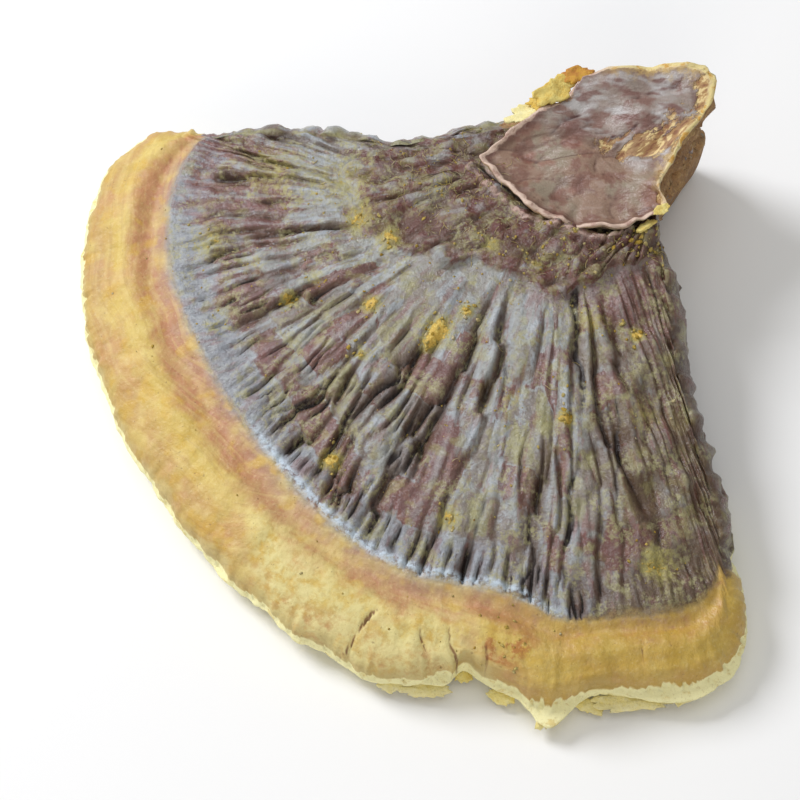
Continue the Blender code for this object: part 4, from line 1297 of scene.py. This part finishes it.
def crust_look(skin):
    """Return the look of the crust: resin lacquer that dried dull, so its ribs show a grey bloom over deep
    red brown, with olive spore dust caught on it. Its crests are lightened as painted highlight, its flanks,
    valleys and creases darkened as painted shade, its right side partly so, and its front hem carries a
    painted glint."""
    marks, ramp, patches = skin.marks, skin.ramp, skin.patches
    side, boss, border = marks["side"], marks["boss"], marks["border"]
    blocks = skin.stretched(skin.lane, 1, 1, 1.8)
    wander = skin.cloud(1.4, 4, 0.7)
    fine = skin.cloud(0.55, 3, 0.7, 3)
    on_rib = skin.pile(-0.35, (marks["rib"], 1), (wander, 0.5), (fine, 0.2))
    hem = ramp(skin.pile(-2.5, (border, 1), (wander, 5)), -8.8, -6.4)
    drift = skin.pile(-0.49, (skin.cloud(3.2, 3, on=blocks), 0.55), (wander, 0.45), (fine, 0.18))
    tone = skin.pile(drift, (marks["zone"], 1), (marks["rib"], -0.1), (boss, 0.24))
    bare = ramp(tone, 0.6, 0.8)
    dashes = patches(1, 0.6, 0.68, layer=5, on=skin.stretched(skin.lane, 0.5, 0.5, 1.6))
    powder = skin.cloud(1.1, 4, 0.7, 7)
    haze = ramp(skin.pile(0, (marks["dust"], 0.5), (powder, 0.9)), 0.52, 0.95, 0, 0.75)
    heap = ramp(skin.pile(0, (marks["dust"], 0.42), (powder, 0.8)), 0.73, 0.88)
    # Where the painted glint lies: just inside the border, in patches.
    frost = skin.times(ramp(border, -2.6, -1), ramp(border, 0.5, -0.2), ramp(wander, 0.38, 0.56, 0, 0.9))
    colour = skin.paint(
        skin.colours.bloom,
        (patches(3.6, 0.44, 0.62, 0.8, 3, on=blocks), "#a2a7ac"),
        (ramp(tone, 0.54, 0.38, 0, 0.8), "#7b6d62"),
        (ramp(tone, 0.3, 0.1, 0, 0.85), skin.colours.film),
        ((hem, 0.7), "#868990"),
        ((hem, dashes, 0.6), "#5d5455"),
        # The right side's browns: partly its own colour, partly painted shade.
        ((side, patches(6, 0.22, 0.42, 0.9, layer=4)), "#654e36"),
        ((side, patches(4, 0.52, 0.62, 0.7, 3, 3, blocks)), "#513828"),
        ((side, patches(4.4, 0.52, 0.64, 0.6, 3, 8)), "#8a7c50"),
        ((bare, 0.9), skin.colours.lacquer),
        ((bare, patches(2.2, 0.5, 0.64, 0.6, layer=6)), "#876457"),
        ((boss, patches(5, 0.38, 0.54, 0.8, layer=1)), "#62362f"),
        ((boss, patches(3.8, 0.52, 0.62, 0.7, 3, 2)), "#8a7c72"),
        ((boss, patches(3.2, 0.54, 0.64, 0.7, 3, 12)), "#8a7f52"),
        (patches(2.8, 0.55, 0.66, 0.45, 2, 14, blocks), "#7c4a45"),
        (patches(3.6, 0.56, 0.66, 0.4, 2, 15), "#a29c62"),
        # Lighter crests: partly grey bloom, partly painted highlight, less of it on the right.
        ((ramp(on_rib, 0.8, 1.08, 0, 0.4), ramp(side, 0, 1, 1, 0.45)), "#b2b7b4"),
        (ramp(skin.cloud(0.5, 2, 0.6, 8), 0.56, 0.7, 0, 0.2), "#abaea6"),
        (ramp(fine, 0.46, 0.34, 0, 0.22), "#4f3a36"),
        ((ramp(marks["edge"], 0.35, 0.7, 0, 0.9), ramp(wander, 0.36, 0.52)), "#c2a294"),
        # Painted shade: the ribs' flanks and valleys darker, more so on the right, and the creases near
        # black.
        (ramp(on_rib, 0.72, 0.3, 0, 0.7), "#58402f"),
        ((side, ramp(on_rib, 0.95, 0.5, 0, 0.6)), "#4a3526"),
        (ramp(on_rib, 0.36, 0.08, 0, 0.8), "#35231a"),
        (ramp(marks["crease"], 0.3, 0.85, 0, 0.9), skin.colours.crease),
        ((patches(5.5, 0.46, 0.62, 0.75, layer=7), ramp(powder, 0.44, 0.6)), "#9c966c"),
        (haze, "#aba25c"),
        (heap, skin.colours.spores),
        ((heap, ramp(fine, 0.5, 0.62)), "#e0c76a"),
        # Painted glint: a pale bluish reflection in patches along the front hem.
        ((frost, marks["frost"]), "#bccad4"),
    )
    roughness = skin.pile(0.18, (wander, 0.3), (bare, -0.1), (haze, 0.3))
    felt = skin.pile(0, (skin.cloud(0.9, 3, layer=6), 0.14), (fine, 0.15), (wander, 0.42))
    return colour, roughness, skin.pile(felt, (skin.times(boss, wander), 0.3), (heap, 0.15))


def margin_look(skin):
    """Return the look of the margin: young velvety growth without lacquer, laid down in bands, so it is dull
    and golden, with the pale tube layer showing under its edge."""
    marks, ramp, patches = skin.marks, skin.ramp, skin.patches
    side, dust = marks["side"], ramp(marks["dust"], 0.2, 0.9)
    fine = skin.cloud(0.6, 3, 0.7)
    wander = skin.cloud(2.2, 4, 0.65)
    drift = skin.pile(-0.22, (skin.cloud(8, on=skin.lane), 0.3), (wander, 0.14))
    across = skin.pile(0, (marks["band"], 1), (drift, ramp(marks["band"], 0.02, 0.4, 0.35, 1)))
    outer = ramp(across, 0.25, 0.62, 0.25, 1)
    bands = [(place * BAND_SCALE, code) for place, code in MARGIN_BANDS]
    tube = ramp(skin.pile(-0.25, (marks["tube"], 1), (wander, 0.5)), 0.35, 0.6)
    rings = skin.stretched(skin.lane, 16, 16, 1)
    colour = skin.paint(
        skin.grade(skin.pile(0, (across, BAND_SCALE)), *bands),
        (patches(7.5, 0.46, 0.68, 0.45, 3, 1), "#bf8760"),
        (patches(5, 0.44, 0.72, 0.5, 2, 2), "#d9c370"),
        (patches(4.5, 0.52, 0.66, 0.6, 2, 9), "#c79f36"),
        (patches(1.3, 0.5, 0.64, 0.22, 2, 6, rings), "#dcc67c"),
        (patches(1, 0.56, 0.66, 0.2, 2, 7, rings), "#a07c46"),
        ((marks["zone"], outer, ramp(wander, 0.34, 0.58, 0.1, 0.8)), skin.colours.margin_cream),
        ((side, ramp(wander, 0.3, 0.6, 0.25, 0.75)), skin.colours.margin_gold),
        ((dust, ramp(wander, 0.42, 0.56, 0, 0.85)), "#a9692f"),
        (patches(1.7, 0.54, 0.66, 0.22, 2, 4), "#b39a58"),
        (ramp(fine, 0.52, 0.7, 0, 0.18), "#ead9a6"),
        (ramp(fine, 0.46, 0.32, 0, 0.18), "#a87843"),
        (patches(0.8, 0.7, 0.74, 0.45, 2, 8), "#77552f"),
        ((ramp(across, 0.8, 0.98), ramp(marks["tube"], 0.9, 0.2), 0.55), "#96752c"),
        (tube, skin.colours.tubes),
        ((tube, ramp(wander, 0.54, 0.68, 0, 0.6)), "#d3b560"),
        ((tube, ramp(fine, 0.42, 0.34, 0, 0.25)), "#a98a4c"),
        # Painted shade in the margin's cracks, and painted shadow along the notch under the golden roll.
        (ramp(marks["crease"], 0.12, 0.45, 0, 0.85), "#754822"),
    )
    roughness = skin.pile(0.4, (wander, 0.35), (tube, 0.25), (side, -0.16))
    ridges = skin.cloud(1.6, 3, layer=3, on=skin.lane)
    return colour, roughness, skin.pile(0, (fine, 0.07), (wander, 0.24), (ridges, 0.2))


def flesh_look(skin):
    """Return the look of torn flesh: cork like felt pulled into strips, cinnamon brown with paler fresh
    tears and faint darker growth lines, and painted shade between the strips."""
    inputs = {0: skin.cloud(4, layer=4).outputs["Color"], 1: (4, 4, 2), 2: skin.place}
    bent = add_node(skin.tree, "ShaderNodeVectorMath", inputs, operation="MULTIPLY_ADD")
    strip = skin.cloud(0.8, 3, 0.6, on=skin.stretched(bent, 1, 1, 7))
    fine = skin.cloud(0.5, 3, 0.7, 3)
    colour = skin.paint(
        skin.colours.flesh,
        (skin.patches(6, 0.44, 0.62, 0.8, 3, 2), "#86603c"),
        (skin.ramp(strip, 0.46, 0.66, 0, 0.6), "#bf9d6a"),
        (skin.patches(1.6, 0.5, 0.66, 0.3, 3, 5, skin.stretched(bent, 7, 7, 1)), "#74502f"),
        (skin.patches(2.4, 0.54, 0.68, 0.45, 3, 6, skin.stretched(bent, 3, 3, 1)), "#cdaf7c"),
        # Painted shade between the torn strips.
        (skin.ramp(skin.marks["rib"], 0.3, 0.05, 0, 0.75), "#4d3022"),
        (skin.ramp(fine, 0.46, 0.34, 0, 0.6), "#5f4029"),
    )
    return colour, skin.pile(0.78, (strip, 0.1)), skin.pile(0, (strip, 0.55), (fine, 0.3))


def plate_look(skin):
    """Return the look of the stub's skin: thin leathery crust dried over torn flesh, pinkish brown with a
    painted grey sheen, worn and peeled to pale flesh along its far lip, with painted shade inside and under
    its lip and in its folds and creases."""
    marks, ramp, patches = skin.marks, skin.ramp, skin.patches
    upper, edge, side = marks["zone"], marks["edge"], marks["side"]
    drawn = skin.stretched(skin.place, 2.2, 1, 1)
    wander = skin.cloud(2, 4, 0.65)
    fine = skin.cloud(0.6, 3, 0.7, 3)
    ragged = skin.pile(-0.135, (edge, 1), (wander, 0.12), (skin.cloud(3, layer=13), 0.16))
    lip = ramp(ragged, 0.945, 0.985)
    peel = ramp(skin.pile(-0.9, (marks["torn"], 1), (wander, 1.3), (fine, 0.5)), 0.34, 0.56)
    along = {"Vector": skin.place, "Angle": math.radians(-PEEL_TURN)}
    along = skin.stretched(add_node(skin.tree, "ShaderNodeVectorRotate", along), 5, 1, 1)
    streaks = skin.cloud(1, 3, 0.6, 6, along)
    far = ramp(skin.pile(-0.25, (edge, 1), (wander, 0.5)), 0.8, 0.97)
    colour = skin.paint(
        skin.colours.stub_skin,
        # Greenish grey patches: painted sheen.
        (patches(8, 0.44, 0.6, 0.75), "#8e8470"),
        (patches(6, 0.5, 0.64, 0.65, 2, 9), "#8f5f52"),
        ((upper, 0.75), "#8f827a"),
        (patches(4, 0.5, 0.62, 0.65, 3, 2), "#754b3f"),
        # Pale grey patches on the upper flap: painted sheen.
        ((upper, patches(3.4, 0.46, 0.62, 0.85, 2, 6, drawn)), "#b2aeab"),
        ((upper, patches(2.8, 0.52, 0.64, 0.8, 2, 7, drawn)), "#6d443a"),
        (patches(1.2, 0.56, 0.66, 0.25, 2, 3, drawn), "#b5a298"),
        (ramp(fine, 0.46, 0.34, 0, 0.25), "#6a4a44"),
        # Painted shade: a dark band just inside the lip, and the folds and creases darker.
        (ramp(edge, 0.84, 0.93, 0, 0.55), "#5f3b32"),
        (ramp(marks["rib"], 0.3, 0.05, 0, 0.6), "#5c3c30"),
        (ramp(marks["crease"], 0.08, 0.35), "#43231f"),
        ((side, far), "#b79a62"),
        ((peel, 0.85), "#a9804f"),
        ((peel, ramp(streaks, 0.5, 0.6)), "#ddc48c"),
        ((peel, ramp(streaks, 0.46, 0.38, 0, 0.8)), "#7f5138"),
        # Painted shade over the lip's outer side and under it.
        (ramp(edge, 1.12, 1.35, 0, 0.85), "#77583f"),
        (lip, "#cdb3a0"),
        ((lip, ramp(wander, 0.52, 0.64, 0, 0.6)), "#8d5e52"),
        ((lip, side), "#ddca8c"),
        ((lip, side, ramp(wander, 0.52, 0.62)), "#c99a48"),
    )
    roughness = skin.pile(0.22, (wander, 0.3), (lip, 0.2), (peel, 0.3))
    return colour, roughness, skin.pile(0, (skin.cloud(0.9, 3, on=drawn), 0.22), (fine, 0.14), (peel, -0.2))


def pore_look(skin):
    """Return the look of the pore face: the open ends of fine tubes in cream felt, bruised tan, each mouth
    darkened as painted shade. The real pores are 0.2 mm across and are drawn at 0.5 mm, because finer ones
    would not show."""
    inputs = {"Vector": skin.place, "Scale": 1 / PORE_SIZE, "Randomness": 0.8}
    pores = add_node(skin.tree, "ShaderNodeTexVoronoi", inputs)
    mouth = skin.ramp(pores.outputs["Distance"], 0.16, 0.42, 1, 0)
    colour = skin.paint(
        skin.colours.pore_face,
        (skin.patches(11, 0.44, 0.6, 0.7), "#a9814f"),
        (skin.patches(3, 0.52, 0.66, 0.5, layer=2), "#e0d3ac"),
        # Painted shade in each pore's mouth.
        ((mouth, 0.7), "#7d5c38"),
    )
    return colour, 0.85, skin.pile(0, (mouth, -0.25), (skin.cloud(1.2, 3), 0.2))


def crumb_look(skin):
    """Return the look of crumbs and fibres: dried felt and spore dust, matt, from rust to straw."""
    stops = ((0, "#96702f"), (0.3, "#caa63a"), (0.65, "#d0bb6c"), (1, "#d9caa0"))
    graded = skin.grade(skin.marks["tint"], *stops)
    return skin.paint(graded, (skin.patches(0.5, 0.52, 0.66, 0.3), "#a98238")), 0.85, skin.cloud(0.3)


def flake_look(skin):
    """Return the look of the torn flakes: cork like flesh, matt, cream where fresh and rusty where old."""
    wander = skin.cloud(1.4, 4, 0.65)
    fine = skin.cloud(0.5, 3, 0.7, 2)
    stops = ((0, "#6d452c"), (0.25, "#b87638"), (0.45, "#d3a93e"), (0.7, "#e6d480"), (1, "#efe7b6"))
    graded = skin.grade(skin.pile(-0.18, (skin.marks["tint"], 0.75), (wander, 0.6)), *stops)
    colour = skin.paint(graded, (skin.ramp(fine, 0.44, 0.34, 0, 0.22), "#a67f42"))
    return colour, 0.8, skin.pile(0, (wander, 0.4), (fine, 0.2))


LOOKS = {
    "crust": crust_look,
    "margin": margin_look,
    "plate": plate_look,
    "pores": pore_look,
    "crumbs": crumb_look,
    "flakes": flake_look,
}


def material_of(name, looks, ior=RESIN_IOR):
    """Return the material of a name, made when it is first asked for. It has one look, or two that meet at
    the border, with torn flesh where that shows."""
    if name in bpy.data.materials:
        return bpy.data.materials[name]
    material, tree, shader = new_material(name)
    skin = Surface(tree)
    look = LOOKS[looks[0]](skin)
    if len(looks) > 1:
        wander = skin.pile(-1.2, (skin.cloud(1, 4, 0.7), 2.4))
        on_margin = skin.ramp(skin.pile(0, (skin.marks["border"], 1), (wander, 0.8)), -1.1, 0.8)
        look = skin.blend(on_margin, look, LOOKS[looks[1]](skin))
        tear = skin.pile(-2, (skin.cloud(5, 4, 0.65, 11), 4))
        ragged = skin.pile(skin.marks["torn"], (tear, skin.ramp(skin.marks["torn"], 0, 0.25)), (wander, 0.1))
        look = skin.blend(skin.ramp(ragged, 0.42, 0.56), look, flesh_look(skin))
    colour, roughness, height = look
    raised = add_node(tree, "ShaderNodeBump", {"Height": height, "Strength": 1, "Distance": MM})
    values = {"Base Color": colour, "Roughness": roughness, "Normal": raised, "Metallic": 0, "IOR": ior}
    for key, value in values.items():
        plug(tree, value, shader.inputs[key])
    return material


def new_material(name):
    """Return a new node material, its tree and its shader."""
    material = bpy.data.materials.new(name)
    material.use_nodes = True
    return material, material.node_tree, material.node_tree.nodes["Principled BSDF"]


def surface_of(body):
    """Return a tree that finds the body's surface."""
    return BVHTree.FromObject(body, bpy.context.evaluated_depsgraph_get())


def drop_on(tree, x, y):
    """Return the place, the normal and the face of the surface under a place in plan, or nothing for each."""
    start = Vector((x * MM, y * MM, DROP_FROM * MM))
    return tree.ray_cast(start, Vector((0, 0, -1)))[:3]


def points_of(mesh):
    """Return the points of a mesh as rows."""
    points = np.zeros(len(mesh.vertices) * 3)
    mesh.vertices.foreach_get("co", points)
    return points.reshape(-1, 3)


def put_points(mesh, points):
    """Move the points of a mesh to new places."""
    mesh.vertices.foreach_set("co", np.asarray(points).ravel())
    mesh.update()


def tinted(mesh, tint):
    """Tell the material of a mesh how pale it is, from 0 to 1."""
    layer = mesh.attributes.new("tint", "FLOAT", "POINT")
    layer.data.foreach_set("value", np.full(len(mesh.vertices), float(tint)))


def joined(pieces, name):
    """Join pieces into one object at the origin, smooth and with a name."""
    bpy.ops.object.select_all(action="DESELECT")
    for piece in pieces:
        piece.select_set(True)
    bpy.context.view_layer.objects.active = pieces[0]
    bpy.ops.object.join()
    whole = bpy.context.object
    whole.name = name
    whole.data.shade_smooth()
    return whole


def copies_of(first, number):
    """Return a number of copies of an object, the first one among them, each with its own mesh."""
    pieces = [first]
    for index in range(number - 1):
        piece = first.copy()
        piece.data = first.data.copy()
        bpy.context.collection.objects.link(piece)
        pieces.append(piece)
    return pieces


def turned_onto(points, normal, spin):
    """Return points turned so that their Z axis follows a normal, after a spin round it."""
    turn = Vector((0, 0, 1)).rotation_difference(normal) @ Euler((0, 0, spin)).to_quaternion()
    return points @ np.array(turn.to_matrix()).T


def make_crumbs(body):
    """Make the crumbs of dust and of dried flesh that lie on the crust, most where the dust is thick."""
    chance = random.Random(4)
    spots = []
    spread, full_size, paleness = DUST_CRUMBS
    for x, y, radius, strength in DUST_SPOTS:
        away, size = radius * spread, full_size * strength**0.5
        for index in range(int(sizes().crumbs * strength)):
            spots.append((chance.gauss(x, away), chance.gauss(y, away), size, paleness))
    for x, y, wide, deep, number, size, tint in CRUMB_FIELDS:
        for index in range(number):
            spots.append((chance.gauss(x, wide), chance.gauss(y, deep), size, tint))
    tree = surface_of(body)
    faces = body.data.polygons
    found = [(*drop_on(tree, x, y), size, tint) for x, y, size, tint in spots]
    found = [spot for spot in found if spot[0] and faces[spot[2]].material_index != SLOTS.index("plate")]
    bpy.ops.object.select_all(action="DESELECT")
    bpy.ops.mesh.primitive_ico_sphere_add(subdivisions=1, radius=1, location=(0, 0, 0))
    first = bpy.context.object
    ball = points_of(first.data)
    pieces = copies_of(first, len(found))
    for piece, (place, normal, face, size, tint) in zip(pieces, found):
        grown = size * chance.uniform(0.35, 1.2) * MM
        shape = ball * (grown * chance.uniform(0.8, 1.6), grown, grown * chance.uniform(0.4, 0.8))
        shape = shape * (1 + 0.9 * grain(ball, 0.9, chance.uniform(0, 50)))[:, None]
        shape = turned_onto(shape, normal, chance.uniform(0, 6.3))
        put_points(piece.data, shape + np.array(place + normal * grown * 0.15))
        tinted(piece.data, min(max(chance.gauss(tint, 0.2), 0), 1))
    return joined(pieces, "dust_crumbs")


def make_fibres(body):
    """Make the torn straw coloured fibres that cling to the boss and under the plate's lip."""
    chance = random.Random(11)
    tree = surface_of(body)
    bpy.ops.object.select_all(action="DESELECT")
    bpy.ops.mesh.primitive_uv_sphere_add(segments=6, ring_count=9, radius=1, location=(0, 0, 0))
    first = bpy.context.object
    ball = points_of(first.data)
    along = ball[:, 2]
    wanted = []
    for x, y, wide, deep, number, longest in FIBRE_FIELDS:
        for index in range(number):
            at_x, at_y = chance.gauss(x, wide), chance.gauss(y, deep)
            place = drop_on(tree, at_x, at_y)[0]
            if place is not None and place.z < OFF_PLATE * MM:
                wanted.append((at_x, at_y, chance.uniform(0.35, 1) * longest * sizes().fibre_length))
    pieces = copies_of(first, len(wanted))
    for piece, (x, y, length) in zip(pieces, wanted):
        heading = chance.uniform(0, math.pi)
        bend = chance.uniform(-0.3, 0.3) * length
        thick = chance.uniform(0.3, 0.7) * sizes().fibre_width / MM
        side_x, side_y = -math.sin(heading), math.cos(heading)
        middle_x = x + along * 0.5 * length * side_y + bend * along**2 * side_x
        middle_y = y - along * 0.5 * length * side_x + bend * along**2 * side_y
        centre = drop_on(tree, x, y)[0].z / MM
        found = [drop_on(tree, at_x, at_y)[0] for at_x, at_y in zip(middle_x, middle_y)]
        heights = np.array([centre if place is None else place.z / MM for place in found])
        heights = np.clip(heights, centre - FIBRE_DIP, centre + FIBRE_RISE)
        taut = np.polyval(np.polyfit(along, heights, 1), along)
        arch = 0.25 * chance.random() * (1 - along**2)
        lifted = np.maximum(heights, (heights + taut) / 2) + FIBRE_GAP + arch
        shape = np.column_stack((middle_x, middle_y, lifted))
        shape += np.outer(ball[:, 0] * thick, (side_x, side_y, 0)) + np.outer(ball[:, 1] * thick, (0, 0, 1))
        put_points(piece.data, shape * MM)
        tinted(piece.data, chance.uniform(0.6, 1))
    return joined(pieces, "torn_fibres")


def make_flakes(table, name):
    """Make the flakes of a table: thin ragged chips, each with its own curl."""
    chance = random.Random(7)
    bpy.ops.object.select_all(action="DESELECT")
    bpy.ops.mesh.primitive_uv_sphere_add(segments=36, ring_count=17, radius=1, location=(0, 0, 0))
    first = bpy.context.object
    ball = points_of(first.data)
    rim = level(ball[:, :2] / np.maximum(lengths_of(ball[:, :2]), 0.01)[:, None])
    pieces = copies_of(first, len(table))
    for piece, (x, y, z, long, wide, thick, spin, tilt, curl, tint) in zip(pieces, table):
        seed = chance.uniform(0, 80)
        ragged = 1 + 0.55 * grain(rim, 0.7, seed) + 0.35 * grain(rim, 0.25, seed + 3)
        flat = level(ball[:, :2] * ragged[:, None] * (long / 2, wide / 2))
        height = np.sign(ball[:, 2]) * np.abs(ball[:, 2]) ** 0.5 * thick / 2
        height = height * (1 + 0.6 * grain(flat, 1.5, seed)) + 0.35 * grain(flat, 2.6, seed + 9)
        flat[:, 2] = height + curl * (2 * flat[:, 1] / wide) ** 2 * wide / 4
        turn = Euler((math.radians(tilt), 0, math.radians(spin))).to_matrix()
        shape = flat @ np.array(turn).T + (x, y, z)
        shape[:, 2] = np.maximum(shape[:, 2], FLAKE_GAP)
        put_points(piece.data, np.clip(shape * MM, CAD_BOX[0] + BOX_GAP, CAD_BOX[1] - BOX_GAP))
        tinted(piece.data, tint)
    return joined(pieces, name)


def make_stage():
    """Make the pale floor, the soft lights and the camera."""
    bpy.ops.object.select_all(action="DESELECT")
    bpy.ops.mesh.primitive_circle_add(vertices=96, radius=FLOOR_RADIUS, fill_type="NGON", location=(0, 0, 0))
    floor = bpy.context.object
    floor.name = "studio_floor"
    material, tree, shader = new_material("matt_white_paper")
    shader.inputs["Base Color"].default_value = (*bpy.context.scene.reishi_colours.paper, 1)
    shader.inputs["Roughness"].default_value = 0.9
    floor.data.materials.append(material)
    studio = bpy.context.scene.reishi_studio
    for name, place, size, colour in LAMPS:
        bpy.ops.object.light_add(type="AREA", location=place)
        lamp = bpy.context.object
        lamp.name = name
        lamp.data.shape = "DISK"
        lamp.data.size = size
        lamp.data.energy = getattr(studio, name)
        lamp.data.color = linear(colour)
        lamp.rotation_euler = (LAMP_TARGET - Vector(place)).to_track_quat("-Z", "Y").to_euler()
    world = bpy.data.worlds.new("pale_studio")
    world.use_nodes = True
    background = world.node_tree.nodes["Background"]
    background.inputs["Color"].default_value = (*linear(SKY_COLOUR), 1)
    background.inputs["Strength"].default_value = studio.sky
    bpy.context.scene.world = world
    back = Vector((0, -math.cos(studio.camera_rise), math.sin(studio.camera_rise)))
    bpy.ops.object.camera_add(location=CAMERA_TARGET + back * studio.camera_distance)
    camera = bpy.context.object
    camera.name = "studio_camera"
    camera.data.lens = studio.lens
    camera.data.sensor_width = SENSOR_WIDTH
    camera.data.clip_start = SEEN_FROM
    camera.rotation_euler = (-back).to_track_quat("-Z", "Y").to_euler()
    bpy.context.scene.camera = camera
    bpy.context.scene.view_settings.view_transform = "Standard"
    bpy.context.scene.view_settings.exposure = 0


def place_piece(piece, *skin):
    """Give a piece its place in the frame, and a loose piece its material too."""
    if skin:
        piece.data.materials.append(material_of(*skin))
    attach(piece, "root")


def bracket_body():
    """Return the bracket that the loose pieces lie on."""
    body = bpy.data.objects.get("reishi_body")
    if body is None:
        raise RuntimeError("The bracket comes first, because the loose pieces lie on it")
    return body


class REISHI_OT_make_bracket(bpy.types.Operator):
    """Make the bracket with its crust, margin, torn stub and pore face"""

    bl_idname = "reishi.make_bracket"
    bl_label = "Bracket"
    bl_options = {"REGISTER", "UNDO"}

    def execute(self, context):
        body = make_body()
        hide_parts("reishi_bracket")
        place_piece(body)
        return {"FINISHED"}


class REISHI_OT_make_flesh_flakes(bpy.types.Operator):
    """Make the flakes of torn flesh at the stub"""

    bl_idname = "reishi.make_flesh_flakes"
    bl_label = "Flesh Flakes"
    bl_options = {"REGISTER", "UNDO"}

    def execute(self, context):
        place_piece(make_flakes(FLESH_FLAKES, "torn_flesh"), *FLAKE_SKIN)
        return {"FINISHED"}


class REISHI_OT_make_pore_chips(bpy.types.Operator):
    """Make the chips of the pore layer that stick out under the margin"""

    bl_idname = "reishi.make_pore_chips"
    bl_label = "Pore Layer Chips"
    bl_options = {"REGISTER", "UNDO"}

    def execute(self, context):
        place_piece(make_flakes(PORE_CHIPS, "pore_layer_chips"), *FLAKE_SKIN)
        return {"FINISHED"}


class REISHI_OT_make_crumbs(bpy.types.Operator):
    """Strew crumbs of spore dust and dried flesh over the crust"""

    bl_idname = "reishi.make_crumbs"
    bl_label = "Crumbs"
    bl_options = {"REGISTER", "UNDO"}

    def execute(self, context):
        place_piece(make_crumbs(bracket_body()), *CRUMB_SKIN)
        return {"FINISHED"}


class REISHI_OT_make_fibres(bpy.types.Operator):
    """Lay torn fibres on the boss and under the stub's lip"""

    bl_idname = "reishi.make_fibres"
    bl_label = "Fibres"
    bl_options = {"REGISTER", "UNDO"}

    def execute(self, context):
        place_piece(make_fibres(bracket_body()), *CRUMB_SKIN)
        return {"FINISHED"}


class REISHI_OT_make_stage(bpy.types.Operator):
    """Make the pale floor, the soft lights and the camera"""

    bl_idname = "reishi.make_stage"
    bl_label = "Stage"
    bl_options = {"REGISTER", "UNDO"}

    def execute(self, context):
        make_stage()
        return {"FINISHED"}


STEPS = (
    REISHI_OT_make_bracket,
    REISHI_OT_make_flesh_flakes,
    REISHI_OT_make_pore_chips,
    REISHI_OT_make_crumbs,
    REISHI_OT_make_fibres,
    REISHI_OT_make_stage,
)


class VIEW3D_PT_reishi_bracket(bpy.types.Panel):
    """Lists the bracket's sizes, colours and pieces."""

    bl_label = "Dried Reishi Bracket"
    bl_space_type = "VIEW_3D"
    bl_region_type = "UI"
    bl_category = "Reishi"

    def draw(self, context):
        for name, group in SETTINGS.items():
            box = self.layout.box()
            for setting in group.__annotations__:
                box.prop(getattr(context.scene, name), setting)
        for step in STEPS:
            self.layout.operator(step.bl_idname)


SETTINGS = {"reishi_sizes": BracketSizes, "reishi_colours": BracketColours, "reishi_studio": StudioSettings}


def register():
    """Add the settings, the operators and the panel to Blender."""
    for part in (*SETTINGS.values(), *STEPS, VIEW3D_PT_reishi_bracket):
        bpy.utils.register_class(part)
    for name, group in SETTINGS.items():
        setattr(bpy.types.Scene, name, PointerProperty(type=group))


def unregister():
    """Take the settings, the operators and the panel out of Blender."""
    for name in SETTINGS:
        delattr(bpy.types.Scene, name)
    for part in (VIEW3D_PT_reishi_bracket, *reversed(STEPS), *reversed(SETTINGS.values())):
        bpy.utils.unregister_class(part)


def main():
    """Make every piece in order."""
    register()
    bpy.ops.reishi.make_bracket()
    bpy.ops.reishi.make_flesh_flakes()
    bpy.ops.reishi.make_pore_chips()
    bpy.ops.reishi.make_crumbs()
    bpy.ops.reishi.make_fibres()
    bpy.ops.reishi.make_stage()


if __name__ == "__main__":
    main()
